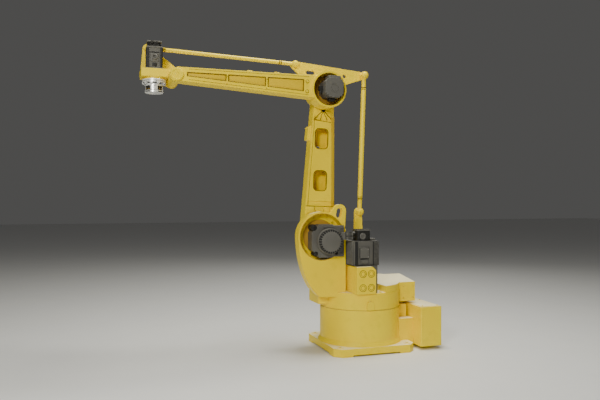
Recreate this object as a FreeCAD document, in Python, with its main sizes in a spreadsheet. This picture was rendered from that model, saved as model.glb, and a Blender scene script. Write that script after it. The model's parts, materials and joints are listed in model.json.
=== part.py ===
"""A four-axis palletising robot arm with two levelling linkages, as a parametric document.

Frame: +X is forward, the way the arm reaches; +Y is the side that carries the arm's motors;
+Z is up.  The origin is on the turret's axis, in the plane that the base stands on.
Lengths are millimetres and angles are degrees.
"""
import FreeCAD
import Part
import math
import os
import re
import Sketcher

# ---------------------------------------------------------------- driving dimensions
SIZES = {
    # base casting and what stands behind it
    "plate_length": 716,
    "plate_width": 728,
    "plate_top": 65,
    "plate_corner": 60,
    "foot_size": 150,
    "foot_height": 12,
    "anchor_spacing": 600,
    "anchor_radius": 13.5,
    "drum_radius": 340,
    "drum_top": 355,
    "drum_flare": 20,
    "drum_flare_height": 34,
    "neck_half_width": 195,
    "neck_top": 248,
    "neck_clearance": 30,
    "duct_half_width": 110,
    "duct_top": 372,
    "duct_back": 395,
    "box_front": 415,
    "box_length": 198,
    "box_width": 660,
    "box_bottom": 30,
    "box_top": 360,
    "cover_margin": 22,
    "cover_thickness": 6,
    "inlet_radius": 34,
    "inlet_length": 32,
    # turret
    "turret_top": 497,
    "running_gap": 0.3,
    "seam": 5,
    "seam_depth": 9,
    "rim_chamfer": 6,
    "lug_x": 50,
    "lug_radius": 31,
    "lug_height": 42,
    "lug_proud": 14,
    "near_wall_in": 95,
    "near_wall_out": 190,
    "far_wall_in": 60,
    "far_wall_out": 125,
    "ring_outer": 205,
    "ring_inner": 188,
    "ring_floor": 110,
    "wall_back": 205,
    "skirt_front": 415,
    "skirt_bottom": 395,
    "web_top": 770,
    "web_front": 372,
    "web_back": 250,
    "far_hub_radius": 128,
    "rear_start": 95,
    "rear_radius": 336,
    "rear_box_back": 459,
    "rear_box_half": 145,
    "rear_box_bottom": 386,
    "rear_near_top": 550,
    "rear_far_top": 588,
    "eye_in": 120,
    "eye_out": 168,
    "reducer_radius": 139.7,
    "reducer_back": 112,
    # turning motor and its bracket
    "motor_bracket_x": 93,
    "motor_bracket_width": 168,
    "motor_bracket_front": 360,
    "motor_bracket_plate": 40,
    "motor_bracket_side": 26,
    "motor_bracket_back": 100,
    "motor_bracket_top": 716,
    "turn_motor_room": 14.5,
    "turn_motor_width": 225,
    "turn_motor_front": 312,
    "turn_motor_depth": 190,
    "turn_motor_top": 922,
    "turn_motor_foot_width": 172,
    "turn_encoder_width": 112,
    "turn_encoder_height": 94,
    # arm drive at the shoulder
    "arm_motor_offset_x": 36,
    "arm_motor_offset_z": 33,
    "arm_motor_radius": 93,
    "arm_motor_end": 300,
    "arm_flange_room_x": 130,
    "arm_flange_room_z": 106,
    "arm_flange_corner": 66,
    "arm_flange_end": 215,
    "arm_flange_offset_x": 25,
    "arm_flange_offset_z": 33,
    "plug_length": 105,
    "plug_width": 44,
    "plug_height": 60,
    "plug_rise": 41,
    # linkage plane and pins
    "rod_plane": 80,
    "eye_half_width": 18,
    "link_plate_near": 102,
    "link_plate_far": 125,
    "pin_radius": 14,
    "pin_clearance": 0.05,
    "open_pin_clearance": 1,
    "pin_head_radius": 26,
    "pin_head_end": 54,
    "lower_link_x": 446,
    "lower_link_z": 198,
    "upper_link_x": 194,
    "upper_link_z": 254,
    "post_tip_radius": 33,
    "post_foot_radius": 52,
    "post_rib": 24,
    "post_rib_depth": 44,
    # lower arm
    "shoulder_x": 410,
    "shoulder_z": 955,
    "arm_length": 1200,
    "arm_lean": 2.1,
    "arm_near": 75,
    "arm_far": 45,
    "arm_step": 12,
    "arm_hub_radius": 130,
    "arm_head_radius": 116,
    "arm_low_z": 250,
    "arm_high_z": 1000,
    "arm_low_front": 112,
    "arm_low_back": 140,
    "arm_high_front": 72,
    "arm_high_back": 113,
    "arm_wall": 18,
    "window_width": 112,
    "window_height": 165,
    "window_corner": 30,
    "window_low": 462,
    "window_high": 812,
    "cable_slot_radius": 27,
    "cable_slot_low": 625,
    "cable_slot_high": 732,
    "side_cover_low": 790,
    "side_cover_height": 130,
    "side_cover_depth": 30,
    "elbow_reducer_radius": 104,
    # elbow link plate
    "link_hub_radius": 62,
    "link_web_x": 30,
    "link_web_z": 95,
    "link_web_radius": 65,
    "link_tip_radius": 30,
    # forearm
    "forearm_length": 1222,
    "forearm_pitch": 2.1,
    "forearm_back": 95,
    "forearm_face": 225,
    "elbow_ring_face": 237,
    "elbow_ring_outer": 148,
    "elbow_ring_inner": 129,
    "elbow_ring_floor": 122,
    "beam_root": 205,
    "beam_root_top": 98,
    "beam_root_bottom": 76,
    "beam_tip": 1208,
    "beam_tip_top": 60,
    "beam_tip_bottom": 44,
    "beam_tip_radius": 52,
    "panel_first": 216,
    "panel_length": 297,
    "panel_rib": 18,
    "panel_depth": 14,
    "panel_top_margin": 38,
    "panel_bottom_margin": 43,
    "pivot_cap_radius": 49,
    "pivot_cap_proud": 18,
    "pivot_boss": 5,
    "elbow_motor_width": 156,
    "elbow_motor_end": 292,
    "elbow_motor_corner": 34,
    "elbow_motor_offset_x": 24,
    "elbow_motor_offset_z": 8,
    "elbow_flange_radius": 112,
    "elbow_flange_thickness": 20,
    # rods
    "lower_rod_radius": 21,
    "lower_rod_neck": 15,
    "lower_rod_end": 130,
    "lower_eye_radius": 33,
    "upper_rod_radius": 15.5,
    "upper_rod_neck": 12,
    "upper_rod_end": 140,
    "upper_eye_radius": 28,
    "neck_length": 16,
    # wrist and tool flange
    "tool_offset": 147,
    "wrist_lug_radius": 45,
    "wrist_block_half": 88,
    "wrist_block_bottom": 3,
    "wrist_block_front": 250,
    "wrist_block_top": 65,
    "wrist_plate_root": 48,
    "wrist_plate_bottom": 30,
    "wrist_plate_tip": 32,
    "wrist_motor_width": 116,
    "wrist_motor_depth": 104,
    "wrist_motor_top": 243,
    "wrist_encoder_width": 104,
    "wrist_encoder_depth": 94,
    "wrist_encoder_top": 286,
    "wrist_disc_radius": 82,
    "wrist_disc_bottom": 12,
    "collar_radius": 92,
    "collar_bottom": 39,
    "flange_body_radius": 66,
    "flange_bottom": 112,
    "flange_lip": 15,
    "flange_lip_radius": 69,
    "flange_pilot_radius": 31.5,
    "flange_pilot_depth": 8,
    "flange_bolt_circle": 50,
    "flange_bolt_radius": 4.25,
    "flange_bolt_depth": 14,
}
FLANGE_BOLTS = 6

# Where the joints are, written in the sheet's names.
TURN_MOTOR_X = "(wall_back - turn_motor_room - turn_motor_width / 2)"
ELBOW_X = "(shoulder_x - arm_length * sin(arm_lean))"
ELBOW_Z = "(shoulder_z + arm_length * cos(arm_lean))"
WRIST_X = f"({ELBOW_X} + forearm_length * cos(forearm_pitch))"
WRIST_Z = f"({ELBOW_Z} + forearm_length * sin(forearm_pitch))"
SHOULDER = ("shoulder_x", "0", "shoulder_z")
ELBOW = (ELBOW_X, "0", ELBOW_Z)
WRIST = (WRIST_X, "0", WRIST_Z)
LOWER_PIN = ("shoulder_x - lower_link_x", "0", "shoulder_z + lower_link_z")
REAR_PIN = (f"{ELBOW_X} - lower_link_x", "0", f"{ELBOW_Z} + lower_link_z")
UPPER_PIN = (f"{ELBOW_X} + upper_link_x", "0", f"{ELBOW_Z} + upper_link_z")
FRONT_PIN = (f"{WRIST_X} + upper_link_x", "0", f"{WRIST_Z} + upper_link_z")
ARM_TURN = ((0, 1, 0), "-arm_lean")
FOREARM_TURN = ((0, 1, 0), "-forearm_pitch")

doc = FreeCAD.newDocument("palletising_robot")
sheet = doc.addObject("Spreadsheet::Sheet", "Sizes")
for row, (alias, value) in enumerate(SIZES.items(), start=1):
    sheet.set(f"A{row}", alias)
    sheet.set(f"B{row}", str(value))
    sheet.setAlias(f"B{row}", alias)
doc.recompute()

subparts = []


# ---------------------------------------------------------------- helpers
def formula(text):
    """Write each driving dimension in a formula as the sheet's cell."""
    return re.sub(r"[a-z_]+", lambda m: f"Sizes.{m.group()}" if m.group() in SIZES else m.group(), str(text))


def amount(text):
    """Work out a formula's present value."""
    return float(doc.getObject("Sizes").evalExpression(formula(text)))


def bind(thing, **properties):
    """Bind properties to formulas; a double underscore stands for a dot."""
    for path, text in properties.items():
        thing.setExpression(path.replace("__", "."), formula(text))


def place(thing, at, turn=None):
    """Put a feature at a point, turned about an axis through it."""
    if turn:
        axis, angle = turn
        thing.Placement = FreeCAD.Placement(FreeCAD.Vector(), FreeCAD.Rotation(FreeCAD.Vector(*axis), 1))
        bind(thing, Placement__Rotation__Angle=angle)
    bind(thing, Placement__Base__x=at[0], Placement__Base__y=at[1], Placement__Base__z=at[2])
    return thing


def box(name, low, high):
    """A box between two corners."""
    thing = doc.addObject("Part::Box", name)
    length, width, height = (f"({b}) - ({a})" for a, b in zip(low, high))
    bind(thing, Length=length, Width=width, Height=height)
    return place(thing, low)


def cylinder(name, radius, at, end, along="Z"):
    """A cylinder from a point to a coordinate along X, Y or Z."""
    thing = doc.addObject("Part::Cylinder", name)
    start = at["XYZ".index(along)]
    bind(thing, Radius=radius, Height=f"({end}) - ({start})")
    turns = {"X": (0, 1, 0, 90), "Y": (-1, 0, 0, 90), "Z": (0, 0, 1, 0)}
    x, y, z, angle = turns[along]
    thing.Placement.Rotation = FreeCAD.Rotation(FreeCAD.Vector(x, y, z), angle)
    return place(thing, at)


def cone(name, radius_low, radius_high, at, end, along="Z"):
    """A cone frustum from a point to a coordinate along X or Z."""
    thing = doc.addObject("Part::Cone", name)
    start = at["XYZ".index(along)]
    bind(thing, Radius1=radius_low, Radius2=radius_high, Height=f"({end}) - ({start})")
    if along == "X":
        thing.Placement.Rotation = FreeCAD.Rotation(FreeCAD.Vector(0, 1, 0), 90)
    return place(thing, at)


def join(name, *pieces):
    thing = doc.addObject("Part::MultiFuse", name)
    thing.Shapes = list(pieces)
    thing.Refine = True
    return thing


def cut(name, base, *tools):
    """Cut tools from a base, one after the other."""
    for number, tool in enumerate(tools, start=1):
        thing = doc.addObject("Part::Cut", name if number == len(tools) else f"{name}_{number}")
        thing.Base = base
        thing.Tool = tool
        thing.Refine = True
        base = thing
    return base


def overlap(name, first, second):
    thing = doc.addObject("Part::Common", name)
    thing.Base = first
    thing.Tool = second
    return thing


def origin_plane(body, role):
    return next(item for item in body.Origin.OriginFeatures if item.Role == role)


def new_sketch(body, name, plane, height="0"):
    """A sketch on one of the body's own origin planes, raised along the plane's normal."""
    sketch = body.newObject("Sketcher::SketchObject", name)
    sketch.AttachmentSupport = (origin_plane(body, plane), "")
    sketch.MapMode = "FlatFace"
    sketch.setExpression(".AttachmentOffset.Base.z", formula(height))
    return sketch


def fix_point(sketch, edge, point, x, y):
    """Hold one end of an edge at a place given by two formulas."""
    for kind, text in (("DistanceX", x), ("DistanceY", y)):
        number = sketch.addConstraint(Sketcher.Constraint(kind, -1, 1, edge, point, amount(text)))
        sketch.setExpression(f"Constraints[{number}]", formula(text))


def fix_radius(sketch, edge, text):
    number = sketch.addConstraint(Sketcher.Constraint("Radius", edge, amount(text)))
    sketch.setExpression(f"Constraints[{number}]", formula(text))


def draw_circle(sketch, x, y, radius):
    centre = FreeCAD.Vector(amount(x), amount(y), 0)
    edge = sketch.addGeometry(Part.Circle(centre, FreeCAD.Vector(0, 0, 1), amount(radius)), False)
    fix_point(sketch, edge, 3, x, y)
    fix_radius(sketch, edge, radius)


def draw_outline(sketch, corners):
    """A closed outline; a corner's third value is the bulge radius of the edge that leaves it."""
    points = [FreeCAD.Vector(amount(c[0]), amount(c[1]), 0) for c in corners]
    first = sketch.GeometryCount
    for number, corner in enumerate(corners):
        start, end = points[number], points[(number + 1) % len(points)]
        if len(corner) == 2:
            sketch.addGeometry(Part.LineSegment(start, end), False)
            continue
        radius = amount(corner[2])
        middle, chord = (start + end) / 2, end - start
        side = FreeCAD.Vector(chord.y, -chord.x, 0).normalize()
        centre = middle - side * math.copysign(math.sqrt(radius ** 2 - chord.Length ** 2 / 4), radius)
        angles = [math.atan2(point.y - centre.y, point.x - centre.x) for point in (start, end)]
        circle = Part.Circle(centre, FreeCAD.Vector(0, 0, 1), abs(radius))
        sketch.addGeometry(Part.ArcOfCircle(circle, *(angles if radius > 0 else reversed(angles))), False)
    ends = []
    for number, point in enumerate(points):
        geometry = sketch.Geometry[first + number]
        gaps = [geometry.StartPoint.distanceToPoint(point), geometry.EndPoint.distanceToPoint(point)]
        ends.append((1, 2) if gaps[0] < gaps[1] else (2, 1))
    for number, corner in enumerate(corners):
        following = (number + 1) % len(corners)
        sketch.addConstraint(Sketcher.Constraint(
            "Coincident", first + number, ends[number][1], first + following, ends[following][0]))
    for number, corner in enumerate(corners):
        fix_point(sketch, first + number, ends[number][0], corner[0], corner[1])
        if len(corner) == 3:
            fix_radius(sketch, first + number, f"abs({corner[2]})")


def draw_hull(sketch, circles):
    """The outline of a belt around circles (x, y, radius) given anticlockwise."""
    places = [(amount(x), amount(y), amount(r)) for x, y, r in circles]
    normals = []
    for number, (x, y, r) in enumerate(places):
        next_x, next_y, next_r = places[(number + 1) % len(places)]
        span = math.hypot(next_x - x, next_y - y)
        normals.append(math.atan2(next_y - y, next_x - x) - math.pi / 2 - math.asin((next_r - r) / span))
    first = sketch.GeometryCount
    for number, (x, y, r) in enumerate(places):
        leave, arrive = normals[number], normals[number - 1]
        while leave < arrive:
            leave += 2 * math.pi
        arc = Part.ArcOfCircle(Part.Circle(FreeCAD.Vector(x, y, 0), FreeCAD.Vector(0, 0, 1), r), arrive, leave)
        sketch.addGeometry(arc, False)
    for number, (x, y, r) in enumerate(places):
        next_x, next_y, next_r = places[(number + 1) % len(places)]
        way = FreeCAD.Vector(math.cos(normals[number]), math.sin(normals[number]), 0)
        line = Part.LineSegment(FreeCAD.Vector(x, y, 0) + way * r, FreeCAD.Vector(next_x, next_y, 0) + way * next_r)
        sketch.addGeometry(line, False)
    count = len(circles)
    for number, (x, y, r) in enumerate(circles):
        arc, line, next_arc = first + number, first + count + number, first + (number + 1) % count
        fix_point(sketch, arc, 3, x, y)
        fix_radius(sketch, arc, r)
        sketch.addConstraint(Sketcher.Constraint("Tangent", arc, 2, line, 1))
        sketch.addConstraint(Sketcher.Constraint("Tangent", line, 2, next_arc, 1))


def pad(body, name, sketch, length):
    feature = body.newObject("PartDesign::Pad", name)
    feature.Profile = sketch
    bind(feature, Length=length)
    body.Tip = feature
    return feature


def pocket(body, name, sketch, depth, reversed_way=False):
    """A pocket that has to take something away."""
    doc.recompute()
    before = body.Tip.Shape.Volume
    feature = body.newObject("PartDesign::Pocket", name)
    feature.Profile = sketch
    feature.Reversed = reversed_way
    bind(feature, Length=depth)
    body.Tip = feature
    doc.recompute()
    if not feature.Shape.Volume < before:
        raise ValueError(f"{name} cuts nothing")
    return feature


def new_body(name):
    return doc.addObject("PartDesign::Body", name)


def side_plate(name, low, high, draw, at=None, turn=None):
    """A body whose outline is drawn in the XZ plane, from y = low to y = high."""
    body = new_body(name)
    sketch = new_sketch(body, f"{name}_outline", "XZ_Plane", f"-({high})")
    draw(sketch)
    pad(body, f"{name}_pad", sketch, f"({high}) - ({low})")
    if at:
        place(body, at, turn)
    return body


def level_plate(name, low, high, draw):
    """A body whose outline is drawn in the XY plane, from z = low to z = high."""
    body = new_body(name)
    sketch = new_sketch(body, f"{name}_outline", "XY_Plane", low)
    draw(sketch)
    pad(body, f"{name}_pad", sketch, f"({high}) - ({low})")
    return body


def soften(name, base, radius, chosen):
    """Round the chosen edges of a feature."""
    doc.recompute()
    thing = doc.addObject("Part::Fillet", name)
    thing.Base = base
    size = amount(radius)
    edges = [n for n, edge in enumerate(base.Shape.Edges, start=1) if chosen(edge)]
    thing.Edges = [(n, size, size) for n in edges]
    return thing


def keep(thing, label, at=None, turn=None):
    """Name a finished sub-part, and place it if it was built about a joint."""
    thing.Label = label
    if at:
        place(thing, at, turn)
    subparts.append(thing)
    return thing


def rectangle(x_low, x_high, y_low, y_high, corner="0"):
    """The corners of a rectangle, with chamfered corners if a size is given."""
    if corner == "0":
        return [(x_low, y_low), (x_high, y_low), (x_high, y_high), (x_low, y_high)]
    c = corner
    return [
        (f"{x_low} + {c}", y_low), (f"{x_high} - {c}", y_low),
        (x_high, f"{y_low} + {c}"), (x_high, f"{y_high} - {c}"),
        (f"{x_high} - {c}", y_high), (f"{x_low} + {c}", y_high),
        (x_low, f"{y_high} - {c}"), (x_low, f"{y_low} + {c}"),
    ]


def rounded(x_mid, y_mid, width, height, radius):
    """The corners of a rectangle with round corners."""
    left, right = f"{x_mid} - {width} / 2", f"{x_mid} + {width} / 2"
    low, top = f"{y_mid} - {height} / 2", f"{y_mid} + {height} / 2"
    r = radius
    return [
        (f"{left} + {r}", low), (f"{right} - {r}", low, r),
        (right, f"{low} + {r}"), (right, f"{top} - {r}", r),
        (f"{right} - {r}", top), (f"{left} + {r}", top, r),
        (left, f"{top} - {r}"), (left, f"{low} + {r}", r),
    ]


# ---------------------------------------------------------------- base
def make_base_casting():
    """Footed plate, drum and the neck to the connection box, cast in one."""
    half_x, half_y = "plate_length / 2", "plate_width / 2"
    plate = level_plate("plate", "0", "plate_top", lambda s: draw_outline(
        s, rectangle(f"-{half_x}", half_x, f"-{half_y}", half_y, "plate_corner")))
    relief = new_sketch(plate, "foot_relief", "XY_Plane")
    inner_x, inner_y = f"({half_x} - foot_size)", f"({half_y} - foot_size)"
    cross = [(inner_x, f"-{half_y}"), (inner_x, f"-{inner_y}"), (half_x, f"-{inner_y}"), (half_x, inner_y),
             (inner_x, inner_y), (inner_x, half_y), (f"-{inner_x}", half_y), (f"-{inner_x}", inner_y),
             (f"-{half_x}", inner_y), (f"-{half_x}", f"-{inner_y}"), (f"-{inner_x}", f"-{inner_y}"),
             (f"-{inner_x}", f"-{half_y}")]
    draw_outline(relief, cross)
    pocket(plate, "foot_relief_cut", relief, "foot_height", reversed_way=True)
    holes = new_sketch(plate, "anchor_holes", "XY_Plane")
    for side_x in ("", "-"):
        for side_y in ("", "-"):
            draw_circle(holes, f"{side_x}anchor_spacing / 2", f"{side_y}anchor_spacing / 2", "anchor_radius")
    pocket(plate, "anchor_cut", holes, "plate_top", reversed_way=True)
    drum = cylinder("drum", "drum_radius", ("0", "0", "plate_top"), "drum_top")
    flare = cone("flare", "drum_radius + drum_flare", "drum_radius", ("0", "0", "plate_top"),
                 "plate_top + drum_flare_height")
    neck = box("neck", ("-box_front", "-neck_half_width", "neck_clearance"), ("0", "neck_half_width", "neck_top"))
    duct = box("duct", ("-duct_back", "-duct_half_width", "neck_top"), ("0", "duct_half_width", "drum_top"))
    keep(join("base_casting", plate, drum, flare, neck, duct), "base_casting")


def make_connection_box():
    """The box behind the base that the supply enters, with its rear cover and inlets."""
    back = "(box_front + box_length)"
    shell = box("box_shell", (f"-{back}", "-box_width / 2", "box_bottom"), ("-box_front", "box_width / 2", "box_top"))
    keep(soften("connection_box", shell, "12", lambda e: abs(e.tangentAt(e.FirstParameter).z) > 0.9),
         "connection_box")
    margin = "cover_margin"
    cover = box("rear_cover_sheet", (f"-{back} - cover_thickness", f"-box_width / 2 + {margin}",
                                     f"box_bottom + {margin}"),
                (f"-{back}", f"box_width / 2 - {margin}", f"box_top - {margin}"))
    keep(cover, "connection_cover")
    inlets = []
    for number, side in enumerate(("-", "", "+")):
        y = "0" if side == "" else f"{side}box_width / 5"
        inlets.append(cylinder(f"inlet_{number}", "inlet_radius",
                               (f"-{back} - cover_thickness - inlet_length", y, "(box_bottom + box_top) / 2"),
                               f"-{back} - cover_thickness", "X"))
    keep(join("supply_inlets", *inlets), "supply_inlets")


# ---------------------------------------------------------------- turret
def make_turret_casting():
    """Drum, front skirt, two shoulder walls and the lifting eye, cast in one."""
    low = "drum_top + seam"
    seam = cylinder("slewing_ring", "drum_radius - seam_depth", ("0", "0", "drum_top + running_gap"), low)
    drum = cylinder("turret_drum", "drum_radius", ("0", "0", low), "turret_top - rim_chamfer")
    rim = cone("turret_rim", "drum_radius", "drum_radius - rim_chamfer", ("0", "0", "turret_top - rim_chamfer"),
               "turret_top")
    skirt = box("skirt", ("web_back", "-far_wall_out", "skirt_bottom"), ("skirt_front", "near_wall_in + 10", "turret_top"))
    web = box("web", ("web_back", "-far_wall_out", "turret_top"), ("web_front", "near_wall_out", "web_top"))
    front = "shoulder_x + ring_outer"
    near_corners = [
        ("wall_back", "skirt_bottom + 60"), ("skirt_front + 18", "skirt_bottom + 70", "460"),
        ("shoulder_x + 158", "shoulder_z - 285", "1000"), (f"{front} - 1", "shoulder_z - 18"),
        ("shoulder_x", "shoulder_z"), ("wall_back", "shoulder_z + 60")]
    near = side_plate("near_wall", "near_wall_in", "near_wall_out", lambda s: draw_outline(s, near_corners))
    far_corners = [
        ("wall_back + 40", "turret_top - 20"), ("skirt_front + 10", "turret_top", "460"),
        ("shoulder_x + 92", "shoulder_z - 250", "1000"), ("shoulder_x + far_hub_radius", "shoulder_z"),
        ("shoulder_x - far_hub_radius", "shoulder_z")]
    far = side_plate("far_wall", "-far_wall_out", "-far_wall_in", lambda s: draw_outline(s, far_corners))
    far_hub = cylinder("far_hub", "far_hub_radius", ("shoulder_x", "-far_wall_out", "shoulder_z"), "-far_wall_in", "Y")
    bearing = cylinder("far_bearing", "far_hub_radius - 30", ("shoulder_x", "-far_wall_in", "shoulder_z"),
                       "-arm_far - running_gap", "Y")
    ring = cylinder("shoulder_ring", "ring_outer", ("shoulder_x", "near_wall_in", "shoulder_z"), "near_wall_out", "Y")
    eye = side_plate("lifting_eye", "eye_in", "eye_out", lambda s: draw_hull(s, [
        ("shoulder_x - 70", "shoulder_z + 100", "50"), ("wall_back + 40", "shoulder_z + 213", "52"),
        ("wall_back + 40", "shoulder_z + 40", "42")]))
    hole = side_plate("eye_hole", "eye_in - 5", "eye_out + 5", lambda s: draw_hull(s, [
        ("wall_back + 52", "shoulder_z + 176", "25"), ("wall_back + 46", "shoulder_z + 210", "25")]))
    lug_end = "sqrt(drum_radius * drum_radius - lug_x * lug_x) + lug_proud"
    lug_round = cylinder("lug_round", "lug_radius", ("lug_x", "0", f"{low} + lug_height"), lug_end, "Y")
    lug_foot = box("lug_foot", ("lug_x - lug_radius", "0", low), ("lug_x + lug_radius", lug_end, f"{low} + lug_height"))
    eye = cut("eye_ring", eye, hole)
    body = join("turret_body", seam, drum, rim, skirt, web, near, far, far_hub, bearing, ring, eye, lug_round,
                lug_foot)
    recess = cylinder("ring_recess", "ring_inner", ("shoulder_x", "ring_floor", "shoulder_z"), "near_wall_out + 5",
                      "Y")
    bore = cylinder("reducer_bore", "reducer_radius + 0.3", ("shoulder_x", "near_wall_in - 5", "shoulder_z"),
                    "ring_floor + 5", "Y")
    keep(cut("turret_casting", body, recess, bore), "turret_casting")


def make_rear_housing():
    """The raised housing on the turret's rear half, which also reaches out over the base."""
    profile = new_body("rear_profile")
    sketch = new_sketch(profile, "rear_profile_outline", "YZ_Plane", "-rear_box_back")
    draw_outline(sketch, [
        ("-rear_radius", "rear_box_bottom"), ("rear_radius", "rear_box_bottom"), ("rear_radius", "rear_near_top"),
        ("rear_box_half", "rear_near_top"), ("-rear_box_half", "rear_far_top"), ("-rear_radius", "rear_far_top")])
    pad(profile, "rear_profile_pad", sketch, "rear_box_back - rear_start")
    round_part = cylinder("rear_round", "rear_radius", ("0", "0", "turret_top"), "rear_far_top + 20")
    outer = box("rear_outer", ("-rear_box_back", "-rear_box_half", "rear_box_bottom"),
                ("-drum_radius + 60", "rear_box_half", "rear_far_top + 20"))
    body = overlap("rear_body", profile, join("rear_envelope", round_part, outer))
    drum_room = cylinder("drum_room", "drum_radius + running_gap", ("0", "0", "0"), "turret_top")
    keep(cut("rear_housing", body, drum_room), "rear_housing")


def make_turn_motor():
    """The motor that turns the turret, its bracket and its encoder."""
    left, right = "motor_bracket_x - motor_bracket_width / 2", "motor_bracket_x + motor_bracket_width / 2"
    plate_back = "motor_bracket_front - motor_bracket_plate"
    front = side_plate("bracket_front", plate_back, "motor_bracket_front", lambda s: draw_outline(s, [
        (left, "turret_top"), (right, "turret_top"), (right, "motor_bracket_top"),
        (f"{left} + 30", "motor_bracket_top"), (left, "motor_bracket_top - 30")]))
    side = box("bracket_side", (f"{right} - motor_bracket_side", "motor_bracket_back", "turret_top"),
               (right, plate_back, "motor_bracket_top"))
    keep(join("motor_bracket", front, side), "motor_bracket")
    motor_left, motor_right = f"{TURN_MOTOR_X} - turn_motor_width / 2", f"{TURN_MOTOR_X} + turn_motor_width / 2"
    back = "turn_motor_front - turn_motor_depth"
    head = level_plate("turn_motor_head", "motor_bracket_top + 6", "turn_motor_top", lambda s: draw_outline(
        s, rectangle(motor_left, motor_right, back, "turn_motor_front", "16")))
    foot_right = f"{right} - motor_bracket_side - 6"
    foot = level_plate("turn_motor_foot", "turret_top", "motor_bracket_top + 6", lambda s: draw_outline(
        s, rectangle(f"{foot_right} - turn_motor_foot_width", foot_right, f"{back} + 20", f"{plate_back} - 0.3", "12")))
    keep(join("turn_motor", head, foot), "turn_motor")
    half = "turn_encoder_width / 2"
    centre, middle = f"{TURN_MOTOR_X} + 8", "turn_motor_front - turn_encoder_width / 2 - 20"
    encoder = level_plate("turn_encoder_body", "turn_motor_top", "turn_motor_top + turn_encoder_height",
                          lambda s: draw_outline(s, rectangle(f"{centre} - {half}", f"{centre} + {half}",
                                                              f"{middle} - {half}", f"{middle} + {half}", "8")))
    keep(encoder, "turn_encoder")


def make_arm_drive():
    """The reducer, motor flange and motor that swing the lower arm."""
    keep(cylinder("shoulder_reducer", "reducer_radius", ("shoulder_x", "arm_near + running_gap", "shoulder_z"),
                  "reducer_back", "Y"), "shoulder_reducer")
    x, z = "shoulder_x - arm_flange_offset_x", "shoulder_z - arm_flange_offset_z"
    half_x, half_z = "(ring_inner - arm_flange_room_x / 2)", "(ring_inner - arm_flange_room_z / 2)"
    flange = side_plate("arm_motor_flange", "reducer_back", "arm_flange_end", lambda s: draw_outline(
        s, rectangle(f"{x} - {half_x}", f"{x} + {half_x}", f"{z} - {half_z}", f"{z} + {half_z}", "arm_flange_corner")))
    keep(flange, "arm_motor_flange")
    x, z = "shoulder_x - arm_motor_offset_x", "shoulder_z - arm_motor_offset_z"
    keep(cylinder("arm_motor", "arm_motor_radius", (x, "arm_flange_end", z), "arm_motor_end", "Y"), "arm_motor")
    edge, plug_z = f"{x} - arm_motor_radius", f"({z} + plug_rise)"
    plug = box("arm_motor_plug", (f"{edge} - plug_length", "arm_motor_end - plug_width - 20", f"{plug_z} - plug_height / 2"),
               (edge, "arm_motor_end - 20", f"{plug_z} + plug_height / 2"))
    neck = box("arm_plug_neck", (edge, "arm_motor_end - plug_width - 14", f"{plug_z} - plug_height / 4"),
               (f"{edge} + 20", "arm_motor_end - 26", f"{plug_z} + plug_height / 4"))
    room = cylinder("arm_plug_room", "arm_motor_radius + 0.2", (x, "arm_flange_end", z), "arm_motor_end", "Y")
    keep(cut("arm_motor_connector", join("arm_plug_body", plug, neck), room), "arm_motor_connector")


def make_link_post():
    """The post on the turret that anchors the lower levelling rod, and its pin."""
    x, _, z = LOWER_PIN
    post = side_plate("post_plate", "-link_plate_far", "-link_plate_near", lambda s: draw_hull(s, [
        (x, "turret_top + post_foot_radius", "post_foot_radius"), (x, z, "post_tip_radius")]))
    rib = box("post_rib_block", (f"{x} - post_rib / 2", "-link_plate_far - post_rib_depth", "turret_top"),
              (f"{x} + post_rib / 2", "-link_plate_far", f"{z} - post_tip_radius"))
    keep(join("link_post", post, rib), "link_post")
    keep(make_pin("lower_link_pin", LOWER_PIN), "lower_link_pin")


def make_pin(name, at):
    """A shouldered pin on a link plate's near face, with a domed head outside the rod's eye."""
    x, _, z = at
    shaft = cylinder(f"{name}_shaft", "pin_radius", (x, "-link_plate_near", z), "-pin_head_end - 2", "Y")
    head = cylinder(f"{name}_head", "pin_head_radius", (x, "-rod_plane + eye_half_width + 2", z), "-pin_head_end", "Y")
    return join(name, shaft, head)


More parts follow.
